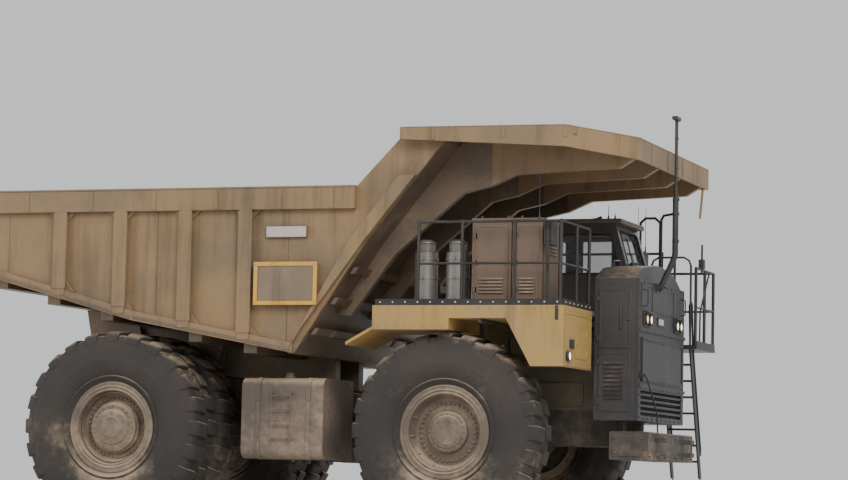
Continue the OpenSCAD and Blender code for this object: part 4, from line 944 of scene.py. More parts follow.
@dataclass
class Tyre(Assembly):
    """One wheel's tyres, with carcass, shoulder lugs and sidewall rings."""

    pitches: int = 24
    tread_depth: float = 0.075
    bead: float = 0.7265

    def carcass(self, radius: float, half: float) -> list[Flat]:
        """Outline of the carcass, from one bead round to the other.

        Args:
            radius: radius over the lugs.
            half: half the width at the sidewalls.
        Returns:
            Pairs of radius and distance along the axis.
        """
        base = radius - self.tread_depth
        side = [
            (self.bead, half - 0.20), (0.80, half - 0.195), (0.85, half - 0.175), (0.90, half - 0.125),
            (0.915, half - 0.10), (0.94, half - 0.10), (0.955, half - 0.115), (1.02, half - 0.06), (1.12, half - 0.018),
            (1.20, half - 0.004), (1.215, half), (1.25, half), (1.265, half - 0.006), (1.36, half - 0.008),
            (1.45, half - 0.018), (1.53, half - 0.035), (1.60, half - 0.062), (base - 0.03, half - 0.10),
            (base - 0.004, half - 0.15), (base, half - 0.22),
        ]
        return side + [(r, -y) for r, y in reversed(side)]

    def lug_rows(self, radius: float, half: float) -> list[tuple[float, float, float, float]]:
        """Sections of a lug from the middle out over the shoulder.

        Args:
            radius: radius over the lugs.
            half: half the width at the sidewalls.
        Returns:
            Rows of place across, top radius, foot radius and skew in pitches.
        """
        base = radius - self.tread_depth
        return [
            (0.035, radius - 0.003, base - 0.01, 0.10), (0.12, radius - 0.002, base - 0.01, 0.08),
            (0.24, radius - 0.004, base - 0.01, 0.05), (half - 0.19, radius - 0.010, base - 0.02, 0.02),
            (half - 0.12, radius - 0.034, base - 0.045, 0.0), (half - 0.075, radius - 0.085, base - 0.09, 0.0),
            (half - 0.045, radius - 0.150, base - 0.13, 0.0),
        ]

    def build(self, node: str, body: str, middles: Place) -> None:
        """Makes the tyres of one body.

        Args:
            node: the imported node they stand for.
            body: the wheel's body.
            middles: where each tyre's middle is along Y.
        """
        low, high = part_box(node)
        radius = (high.z - low.z) / 2
        x = (low.x + high.x) / 2
        z = (low.z + high.z) / 2
        width = (high.y - low.y) if len(middles) == 1 else 1.12
        half = width / 2
        mesh = Mesh()
        pitch = 2.0 * pi / self.pitches
        for y in middles:
            mesh.lathe((x, y, z), self.carcass(radius, half), 152)
            for sign in (1.0, -1.0):
                for angle in turns(self.pitches):
                    self.lug(mesh, (x, y, z), sign, angle, pitch, radius, half)
        self.add(mesh, node + "_tread", "tyre_rubber", body, smooth=32.0, replaces=(node,))

    def lug(self, mesh: Mesh, centre: Point, sign: float, angle: float, pitch: float, radius: float,
            half: float) -> None:
        """Adds one lug.

        Args:
            mesh: where it goes.
            centre: the tyre's middle.
            sign: which shoulder.
            angle: where it lies round the tyre.
            pitch: angle from one lug to the next.
            radius: radius over the lugs.
            half: half the tyre's width.
        """
        rows = []
        for across, top, foot, skew in self.lug_rows(radius, half):
            middle = angle + sign * skew * pitch
            spread = 0.29 * pitch
            chamfer = 0.86
            points = []
            for r, t in ((foot, -1.06), (top - 0.012, -1.0), (top, -chamfer), (top, chamfer), (top - 0.012, 1.0),
                         (foot, 1.06)):
                a = middle + t * spread
                points.append((centre[0] + r * cos(a), centre[1] + sign * across, centre[2] + r * sin(a)))
            rows.append(mesh.ring(points))
        mesh.skin(rows)


@dataclass
class Rim(Assembly):
    """Rim band with lock ring, disc, nuts and hub."""

    def band(self, mesh: Mesh, centre: Point, out: float) -> None:
        """Adds one rim band with its flanges and lock ring.

        Args:
            mesh: where it goes.
            centre: the band's middle.
            out: 1 if outward is +Y, or -1.
        """
        band = [
            (0.665, -0.40), (0.70, -0.398), (0.828, -0.398), (0.83, -0.385), (0.82, -0.372), (0.735, -0.368),
            (0.7245, -0.36), (0.7245, 0.345), (0.735, 0.352), (0.80, 0.362), (0.83, 0.375), (0.838, 0.392),
            (0.822, 0.402), (0.795, 0.398), (0.765, 0.40), (0.752, 0.412), (0.735, 0.412), (0.722, 0.398),
            (0.705, 0.398), (0.692, 0.408), (0.675, 0.405), (0.665, 0.385),
        ]
        mesh.lathe(centre, band, 128, out)

    def front(self, side: Side) -> None:
        """Makes a front wheel's rim.

        Args:
            side: which side of the truck.
        """
        node = f"rim_front_{side.word}"
        centre = x, _, z = Layout.middle(node)
        out = side.value
        mesh = Mesh()
        self.band(mesh, centre, out)
        disc = [
            (0.36, 0.06), (0.60, 0.055), (0.668, 0.0), (0.668, 0.30), (0.655, 0.31), (0.64, 0.22), (0.60, 0.145),
            (0.555, 0.135), (0.46, 0.135), (0.43, 0.15), (0.36, 0.15),
        ]
        mesh.lathe(centre, disc, 112, out)
        hub = [
            (0.262, -0.30), (0.36, -0.30), (0.36, 0.06), (0.37, 0.10), (0.37, 0.215), (0.352, 0.235), (0.30, 0.245),
            (0.285, 0.262), (0.21, 0.27), (0.19, 0.258), (0.0, 0.258), (0.0, 0.11), (0.262, 0.11),
        ]
        mesh.lathe(centre, [(max(r, 0.001), y) for r, y in hub], 72, out)
        mesh.bolt_ring((x, centre[1] + out * 0.135, z), (0, out, 0), 0.515, 36, 0.024, 0.035)
        mesh.bolt_ring((x, centre[1] + out * 0.24, z), (0, out, 0), 0.325, 20, 0.017, 0.02)
        mesh.bolt_ring((x, centre[1] + out * 0.268, z), (0, out, 0), 0.235, 8, 0.013, 0.014)
        for angle in turns(12, 0.13):
            c, s = cos(angle), sin(angle)
            mesh.cylinder(
                (x + 0.632 * c, centre[1] + out * 0.20, z + 0.632 * s),
                (x + 0.70 * c, centre[1] + out * 0.395, z + 0.70 * s), 0.022, 10)
        self.add(mesh, node + "_wheel", "rim_paint", f"wheel_front_{side.word}", bevel=0.004, replaces=(node,))

    def rear(self, side: Side, inner: float, outer: float) -> None:
        """Makes a rear wheel's twin rims with the drive hub.

        Args:
            side: which side of the truck.
            inner: middle of the inner tyre, from the truck's middle.
            outer: middle of the outer tyre.
        """
        node = f"rim_rear_{side.word}"
        x, _, z = Layout.middle(node)
        out = side.value
        mesh = Mesh()
        self.band(mesh, (x, out * inner, z), -out)
        self.band(mesh, (x, out * outer, z), out)
        centre = (x, out * outer, z)
        spacer = [(0.655, -1.0), (0.70, -0.98), (0.70, -0.30), (0.655, -0.28)]
        mesh.lathe(centre, spacer, 96, out)
        drum = [
            (0.505, -1.20), (0.665, -1.20), (0.667, 0.05), (0.655, 0.30), (0.63, 0.31), (0.615, 0.18), (0.58, 0.155),
            (0.505, 0.15), (0.485, 0.17), (0.475, 0.235), (0.45, 0.25), (0.445, 0.315), (0.42, 0.335), (0.33, 0.345),
            (0.315, 0.375), (0.295, 0.39), (0.20, 0.40), (0.185, 0.412), (0.001, 0.414), (0.001, 0.01), (0.505, 0.01),
        ]
        mesh.lathe(centre, drum, 112, out)
        mesh.bolt_ring((x, centre[1] + out * 0.152, z), (0, out, 0), 0.548, 40, 0.022, 0.032)
        mesh.bolt_ring((x, centre[1] + out * 0.338, z), (0, out, 0), 0.39, 24, 0.018, 0.022)
        mesh.bolt_ring((x, centre[1] + out * 0.395, z), (0, out, 0), 0.25, 12, 0.014, 0.016)
        self.add(mesh, node + "_wheel", "rim_paint", f"wheel_rear_{side.word}", bevel=0.004, replaces=(node,))


class Layout:
    """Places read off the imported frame, by which the pieces are set."""

    def __init__(self) -> None:
        """Reads the boxes of the main nodes."""
        self.rear = self.middle("tyre_rear_left").x
        self.front = self.middle("tyre_front_left").x
        self.axle = self.middle("tyre_front_left").z
        self.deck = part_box("deck")[1].z
        self.deck_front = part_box("fender_right")[1].x
        self.deck_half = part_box("fender_left")[1].y
        self.fender_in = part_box("fender_left")[0].y
        self.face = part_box("radiator_grille")[1].x - 0.03
        self.hood_low, self.hood_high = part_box("hood")
        self.cab_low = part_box("cab_right_side")[0]
        self.cab_high = Vector((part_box("cab_right_side")[1].x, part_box("cab_left_side")[1].y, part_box("cab_roof")[1].z))

    @staticmethod
    def middle(node: str) -> Vector:
        """The middle of a node's box."""
        low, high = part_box(node)
        return (low + high) / 2


@dataclass
class BedTrim(Assembly):
    """Seams, rib caps, boards and pads of the tipping bed."""

    layout: Layout
    skin: float = 3.33
    outside: float = 3.45
    ribs: tuple[float, ...] = (-1.19, 0.04, 1.35, 2.54)
    rib_width: float = 0.22
    bead: float = 0.009
    kink: Flat = (0.29, 3.74)
    tail: Flat = (-3.9, 4.9)
    nose: Flat = (3.5, 3.15)
    edge_strip: float = 0.18
    rail_low: float = 5.75
    rail_high: float = 6.17
    rail_end: float = 4.66

    def floor_at(self, x: float) -> float:
        """Height of the bed's lower edge.

        Args:
            x: place ahead of the rear axle.
        Returns:
            The height.
        """
        (x0, z0), (x1, z1) = (self.tail, self.kink) if x < self.kink[0] else (self.kink, self.nose)
        return z0 + (z1 - z0) * (x - x0) / (x1 - x0)

    def build(self) -> None:
        """Makes every piece of the bed's trim."""
        for side in Side:
            self.seams(side)
            self.caps(side)
            self.board(side)
            self.edge(side)
        self.canopy()
        self.pads()
        self.front_wall()

    def seams(self, side: Side) -> None:
        """Adds weld beads round the ribs and under the rail."""
        mesh = Mesh()
        r, s = self.layout.rear, side.value
        for rib in self.ribs:
            for x in (rib - self.rib_width / 2, rib + self.rib_width / 2):
                start = self.floor_at(x) + self.edge_strip
                mesh.tube([(r + x, s * self.skin, start), (r + x, s * self.skin, self.rail_low)], self.bead, 6)
        for z, y in ((self.rail_low, self.skin), (self.rail_high - 0.03, self.outside)):
            mesh.tube([(r + self.tail[0] + 0.32, s * y, z), (r + self.rail_end - 0.05, s * y, z)], self.bead, 6)
        line = [(r + x, s * self.skin, z + self.edge_strip + 0.005) for x, z in (self.tail, self.kink, self.nose)]
        mesh.tube([line[0], line[1]], self.bead, 6)
        mesh.tube([line[1], line[2]], self.bead, 6)
        for x in (-2.3, 0.75, 3.35):
            foot = self.floor_at(x) + self.edge_strip
            mesh.tube([(r + x, s * self.skin, foot), (r + x, s * self.skin, self.rail_low)], 0.006, 6)
        self.add(mesh, f"bed_seams_{side.word}", "bed_steel", "bed")

    def caps(self, side: Side) -> None:
        """Adds the flat flange on each rib and gussets at its ends."""
        mesh = Mesh()
        r, s = self.layout.rear, side.value
        for rib in self.ribs:
            low = self.floor_at(rib) + self.edge_strip
            mesh.plate(1, s * self.outside, s * 0.014, (r + rib - 0.135, low), (r + rib + 0.135, self.rail_low - 0.01))
            for sign in (-1, 1):
                x = r + rib + sign * self.rib_width / 2
                mesh.prism([(x, self.rail_low), (x + sign * 0.16, self.rail_low), (x, self.rail_low - 0.16)], 1,
                           s * (self.skin + 0.02), s * (self.skin + 0.045))
                foot = self.floor_at(rib + sign * 0.12) + self.edge_strip
                mesh.prism([(x, foot - 0.01), (x + sign * 0.18, foot - 0.03), (x, foot + 0.18)], 1,
                           s * (self.skin + 0.02), s * (self.skin + 0.045))
        for x in (-3.3, -1.9, -0.58, 0.7, 1.95, 3.2, 4.2):
            low, high = (r + x - 0.05, self.rail_low + 0.02), (r + x + 0.05, self.rail_high - 0.06)
            mesh.plate(1, s * self.outside, s * 0.012, low, high)
        self.add(mesh, f"bed_rib_caps_{side.word}", "bed_paint", "bed", bevel=0.003)

    def board(self, side: Side) -> None:
        """Adds the number board's yellow frame with its blank field, and the pale plate above."""
        r, s = self.layout.rear, side.value
        x0, x1, z0, z1, y = r + 2.75, r + 3.98, 4.01, 4.79, self.outside + 0.03
        frame_mesh = Mesh()
        frame_mesh.border(1, s * y, s * 0.022, (x0, z0), (x1, z1), 0.075)
        seat = s * (y + 0.022)
        for z in (z0 + 0.037, z1 - 0.037):
            frame_mesh.bolt_row((x0 + 0.037, seat, z), (x1 - 0.037, seat, z), 5, (0, s, 0))
        self.add(frame_mesh, f"bed_board_frame_{side.word}", "fender_paint", "bed", bevel=0.004, finish=BOARD_YELLOW)
        field_mesh = Mesh()
        field_mesh.plate(1, s * y, s * 0.008, (x0 + 0.08, z0 + 0.08), (x1 - 0.08, z1 - 0.08))
        self.add(field_mesh, f"bed_board_field_{side.word}", "bed_paint", "bed", bevel=0.002, finish=BOARD_FIELD)
        plate_mesh = Mesh()
        y = self.outside - 0.06
        plate_mesh.plate(1, s * y, s * 0.010, (r + 2.94, 5.25), (r + 3.71, 5.44))
        plate_mesh.bolts([(r + x, s * (y + 0.01), z) for x in (2.98, 3.67) for z in (5.28, 5.41)], (0, s, 0), 0.012,
                         0.01)
        self.add(plate_mesh, f"bed_pale_plate_{side.word}", "roof_paint", "bed", bevel=0.003, finish=PALE_PLATE)

    def edge(self, side: Side) -> None:
        """Adds wear strips on the lower edge, tail plate and hinge cap."""
        mesh = Mesh()
        r, s = self.layout.rear, side.value
        for (xa, za), (xb, zb) in ((self.tail, self.kink), (self.kink, self.nose)):
            outline = [(r + xa + 0.03, za + 0.03), (r + xb - 0.03, zb + 0.03), (r + xb - 0.03, zb + 0.09),
                       (r + xa + 0.03, za + 0.09)]
            mesh.prism(outline, 1, s * (self.outside - 0.022), s * (self.outside - 0.008))
        mesh.plate(0, r + self.tail[0] + 0.02, -0.03, (s * 3.26, 4.92), (s * 3.40, 5.5))
        hinge = (r - 1.45, s * 0.886, self.layout.axle + 1.28)
        mesh.spun(hinge, (0, s, 0), [(0.0, 0.0), (0.14, 0.0), (0.14, 0.018), (0.11, 0.03), (0.0, 0.03)], 36)
        mesh.bolt_ring((hinge[0], hinge[1] + s * 0.015, hinge[2]), (0, s, 0), 0.11, 6, 0.014, 0.02)
        self.add(mesh, f"bed_edge_{side.word}", "bed_steel", "bed", bevel=0.003)

    def canopy(self) -> None:
        """Adds seams, lip straps, cross channels and lifting eyes of the canopy."""
        low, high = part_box("bed_canopy")
        corner = self.layout.front + 2.27
        mesh = Mesh()
        for s in (-1, 1):
            for x in (low.x + 0.6, low.x + 1.9, corner - 0.03):
                mesh.plate(1, s * high.y, s * 0.012, (x, high.z - 0.24), (x + 0.07, high.z - 0.03))
            mesh.tube([(low.x + 0.1, s * high.y, high.z - 0.012), (corner, s * high.y, high.z - 0.03)], 0.008, 6)
            mesh.tube([(corner, s * high.y, high.z - 0.03), (high.x, s * 2.55, high.z - 0.165)], 0.008, 6)
            mesh.tube([(low.x + 0.6, s * 1.2, high.z), (corner - 0.2, s * 1.2, high.z - 0.018)], 0.008, 6)
            for x in (low.x + 0.9, corner - 0.5):
                eye = [(x - 0.11, high.z - 0.03), (x + 0.11, high.z - 0.03), (x + 0.07, high.z + 0.07),
                       (x - 0.07, high.z + 0.07)]
                mesh.prism(eye, 1, s * 2.9, s * 2.94)
        for y in (-1.7, -0.55, 0.55, 1.7):
            mesh.plate(0, high.x, 0.012, (y - 0.03, high.z - 0.50), (y + 0.03, high.z - 0.19))
        mesh.tube([(high.x, -2.5, high.z - 0.165), (high.x, 2.5, high.z - 0.165)], 0.008, 6)
        self.add(mesh, "canopy_straps", "bed_paint", "bed", bevel=0.003)
        under = Mesh()
        for x in (low.x + 1.0, low.x + 1.75, low.x + 2.5, low.x + 3.2):
            drop = 0.005 * (x - low.x)
            for y0, y1 in ((-3.5, -2.48), (-2.32, -0.88), (-0.72, 0.72), (0.88, 2.32), (2.48, 3.5)):
                under.box((x - 0.05, y0, high.z - 0.17 - drop), (x + 0.05, y1, high.z - 0.066 - drop))
        self.add(under, "canopy_cross_channels", "bed_paint", "bed", bevel=0.005)

    def pads(self) -> None:
        """Adds the rubber pads that lie between the beams and the frame's rails."""
        mesh = Mesh()
        for s in (-1, 1):
            for x0, x1, z0, z1 in ((0.75, 1.05, 2.838, 2.808), (1.6, 1.9, 2.755, 2.725), (2.5, 2.8, 2.664, 2.634)):
                a, b = self.layout.rear + x0, self.layout.rear + x1
                mesh.prism([(a, z0 + 0.012), (b, z1 + 0.012), (b, z1 + 0.048), (a, z0 + 0.048)], 1,
                           s * 0.5, s * 0.74)
        self.add(mesh, "bed_rubber_pads", "tyre_rubber", "bed", bevel=0.004)

    def front_wall(self) -> None:
        """Adds cross ribs and seams on the leaning front wall, seen below the canopy."""
        mesh = Mesh()
        r = self.layout.rear
        lean = 1.36 / 2.04
        for z in (3.55, 4.1, 4.65):
            x = r + self.nose[0] + (z - self.nose[1]) * lean
            for y0, y1 in ((-3.2, -2.48), (-2.32, -0.88), (-0.72, 0.72), (0.88, 2.32), (2.48, 3.2)):
                outline = [(x - 0.01, z - 0.06), (x + 0.09, z - 0.06), (x + 0.09 + 0.08, z + 0.06),
                           (x + 0.07, z + 0.06)]
                mesh.prism(outline, 1, y0, y1)
        self.add(mesh, "bed_front_cross_ribs", "bed_steel", "bed", bevel=0.004)


@dataclass
class FrontEnd(Assembly):
    """Radiator core, mesh, panel frame, lamp bezels and hood fittings."""

    layout: Layout
    lamp_ring: float = 0.125
    lamp_height: float = 3.89
    lamp_places: tuple[float, ...] = (-1.23, -0.96, 0.96, 1.23)

    def build(self) -> None:
        """Makes every piece of the front."""
        self.core()
        self.mesh_screens()
        self.face_fittings()
        self.lamps()
        for side in Side:
            self.flank(side)
        self.bumper()

    def core(self) -> None:
        """Adds the finned radiator core behind the openings."""
        mesh = Mesh()
        x = self.layout.face - 0.20
        mesh.box((x - 0.02, -1.42, 2.21), (x, 1.42, 4.40))
        count = 72
        for i in range(count):
            y = -1.40 + 2.80 * i / (count - 1)
            mesh.box((x - 0.005, y - 0.005, 2.22), (x + 0.03, y + 0.005, 4.39))
        for z in (2.75, 3.3, 3.85):
            mesh.box((x, -1.41, z), (x + 0.045, 1.41, z + 0.05))
        self.add(mesh, "radiator_core", "grille_paint", finish=CORE_DARK)

    def mesh_screens(self) -> None:
        """Adds a wire screen behind the bars of the lower opening."""
        mesh = Mesh()
        x = self.layout.face - 0.055
        low, high, half = 2.15, 2.60, 1.465
        uprights, levels = 59, 10
        for i in range(uprights):
            y = -half + 2.93 * i / (uprights - 1)
            mesh.box((x - 0.004, y - 0.004, low), (x + 0.004, y + 0.004, high))
        for i in range(levels):
            z = low + (high - low) * (i + 0.5) / levels
            mesh.box((x - 0.007, -1.47, z - 0.004), (x + 0.001, 1.47, z + 0.004))
        self.add(mesh, "grille_screens", "grille_paint")

    def face_fittings(self) -> None:
        """Adds the panel's frame, bolts, ledge edges and the small plate between the lamps."""
        mesh = Mesh()
        x = self.layout.face
        mesh.border(0, x + 0.02, 0.014, (-1.46, 2.76), (1.46, 3.56), 0.055)
        for z in (2.787, 3.533):
            mesh.bolt_row((x + 0.034, -1.43, z), (x + 0.034, 1.43, z), 13, AHEAD, 0.013, 0.012)
        for y in (-1.55, 1.55):
            mesh.bolt_row((x, y, 2.12), (x, y, 4.52), 13, AHEAD, 0.016, 0.014)
        for z in (2.10, 4.555):
            mesh.bolt_row((x, -1.3, z), (x, 1.3, z), 9, AHEAD, 0.016, 0.014)
        for z in (2.665, 3.685):
            mesh.bolt_row((x + 0.03, -1.5, z), (x + 0.03, 1.5, z), 11, AHEAD, 0.012, 0.01)
        mesh.border(0, x + 0.012, 0.010, (-0.35, 3.82), (0.09, 3.98), 0.022)
        mesh.plate(0, x, 0.010, (-1.50, 4.035), (1.50, 4.52))
        for y in (-0.76, 0.76):
            mesh.box((x + 0.010, y - 0.012, 4.04), (x + 0.020, y + 0.012, 4.515))
        for z in (4.065, 4.49):
            mesh.bolt_row((x + 0.010, -1.46, z), (x + 0.010, 1.46, z), 15, AHEAD, 0.012, 0.010)
        for y in (-1.36, 1.36):
            mesh.handle((x + 0.010, y, 4.12), (x + 0.010, y, 4.42), (0.08, 0, 0), 0.013)
        self.add(mesh, "front_face_fittings", "grille_paint", bevel=0.002)
        plate_mesh = Mesh()
        plate_mesh.plate(0, x + 0.010, 0.006, (-0.325, 3.845), (0.065, 3.955))
        self.add(plate_mesh, "front_small_plate", "roof_paint", finish=PALE_PLATE)
        rod = Mesh()
        rod.tube([(x + 0.10, -1.54, 2.86), (x + 0.13, -1.50, 2.80), (x + 0.16, -0.88, 2.18), (x + 0.16, -0.84, 1.86)],
                 0.014, 8)
        rod.box((x + 0.02, -1.57, 2.83), (x + 0.12, -1.51, 2.89))
        self.add(rod, "front_brace_rod", "rail_paint")

    def lamps(self) -> None:
        """Adds lamp bodies with bezels and ribbed lenses, in place of the plain discs."""
        bodies, lenses, amber = Mesh(), Mesh(), Mesh()
        x = self.layout.face
        places = [(x, y, self.lamp_height) for y in self.lamp_places]
        places += [(self.layout.deck_front, s * 3.26, 3.12) for s in (-1, 1)]
        body = [(0.0, 0.0), (0.085, 0.0), (0.098, 0.012), (0.098, 0.05), (0.092, 0.062), (0.080, 0.062), (0.078, 0.040),
                (0.0, 0.030)]
        lens = [(0.0, 0.032), (0.077, 0.038), (0.077, 0.046), (0.06, 0.054), (0.03, 0.059), (0.0, 0.060)]
        for place in places:
            bodies.spun(place, AHEAD, body, 40)
            bodies.bolt_ring((place[0] + 0.055, *place[1:]), AHEAD, 0.089, 4, 0.007, 0.008, 0.785)
            glasses = amber if place[1] == self.lamp_places[0] else lenses
            glasses.spun(place, AHEAD, lens, 40)
        guards = Mesh()
        for y0, y1 in ((-1.36, -0.83), (0.83, 1.36)):
            guards.border(0, x, 0.03, (y0, 3.765), (y1, 4.015), 0.022)
            guards.plate(0, x, 0.085, (y0, 4.015), (y1, 4.03))
        self.add(bodies, "lamp_bodies", "cab_plastic", bevel=0.0)
        self.add(lenses, "lamp_lenses", "lamp_lens", replaces=("lamps",))
        self.add(amber, "lamp_amber", "lamp_lens", finish=AMBER)
        self.add(guards, "lamp_surrounds", "grille_paint", bevel=0.002)

    def flank(self, side: Side) -> None:
        """Adds the hood's side doors, hinges, latches, louvres, a grab handle and a row of bolts."""
        mesh = Mesh()
        s = side.value
        y = s * self.layout.hood_high.y
        x0, x1 = self.layout.hood_low.x + 0.07, self.layout.hood_high.x - 0.07
        for z0, z1 in ((2.2, 3.28), (3.34, 4.42)):
            mesh.plate(1, y, s * 0.012, (x0, z0), (x1, z1))
            mesh.border(1, y + s * 0.012, s * 0.006, (x0 + 0.02, z0 + 0.02), (x1 - 0.02, z1 - 0.02), 0.03)
            for z in (z0 + 0.18, z1 - 0.18):
                mesh.cylinder((x0 - 0.012, y + s * 0.015, z - 0.05), (x0 - 0.012, y + s * 0.015, z + 0.05), 0.014, 12)
                mesh.box((x0 - 0.012, y, z - 0.045), (x0 + 0.07, y + s * 0.024, z + 0.045))
            mesh.box((x1 - 0.09, y, (z0 + z1) / 2 - 0.035), (x1 - 0.03, y + s * 0.034, (z0 + z1) / 2 + 0.035))
        mesh.louvres(1, y + s * 0.012, s * 0.03, (x0 + 0.12, 2.42), (x1 - 0.14, 3.12), 9)
        mesh.handle((x1 - 0.18, y + s * 0.012, 3.7), (x1 - 0.18, y + s * 0.012, 4.1), (0, s * 0.07, 0))
        mesh.bolt_row((x0, y, 4.5), (x1, y, 4.5), 7, (0, s, 0), 0.012, 0.012)
        self.add(mesh, f"hood_flank_{side.word}", "hood_paint", bevel=0.003)

    def bumper(self) -> None:
        """Adds tread strips, bolts and the filler and rail on the hood's crown."""
        mesh = Mesh()
        low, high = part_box("bumper")
        beam = high.x - 0.20
        mesh.plate(2, high.z, 0.008, (low.x + 0.02, low.y + 0.03), (beam - 0.02, high.y - 0.03))
        for y in (-1.5, -0.4, 0.4, 1.5):
            mesh.bolts([(beam, y, z) for z in (low.z + 0.08, low.z + 0.42)], AHEAD, 0.028, 0.03)
        mesh.border(0, beam, 0.012, (low.y + 0.01, low.z + 0.01), (high.y - 0.01, high.z - 0.01), 0.03)
        for s in (-1, 1):
            mesh.plate(1, s * high.y, s * 0.014, (low.x + 0.05, low.z + 0.06), (beam - 0.05, high.z - 0.06))
            corners = [(x, z) for x in (low.x + 0.1, beam - 0.1) for z in (low.z + 0.12, high.z - 0.12)]
            mesh.bolts([(x, s * (high.y + 0.014), z) for x, z in corners], (0, s, 0), 0.022, 0.022)
        self.add(mesh, "bumper_fittings", "frame_steel", bevel=0.003)
        crown = Mesh()
        top = self.layout.hood_high.z
        x = self.layout.hood_low.x + 0.28
        filler = [(0.0, 0.0), (0.11, 0.0), (0.11, 0.03), (0.085, 0.035), (0.085, 0.075), (0.07, 0.09), (0.0, 0.09)]
        crown.spun((x, 0.0, top - 0.01), UP, filler, 32)
        crown.handle((x - 0.2, -0.7, top - 0.045), (x - 0.2, -0.25, top - 0.005), (0, 0, 0.10))
        crown.handle((x - 0.2, 0.25, top - 0.005), (x - 0.2, 0.7, top - 0.045), (0, 0, 0.10))
        self.add(crown, "hood_crown_fittings", "hood_paint", bevel=0.002)


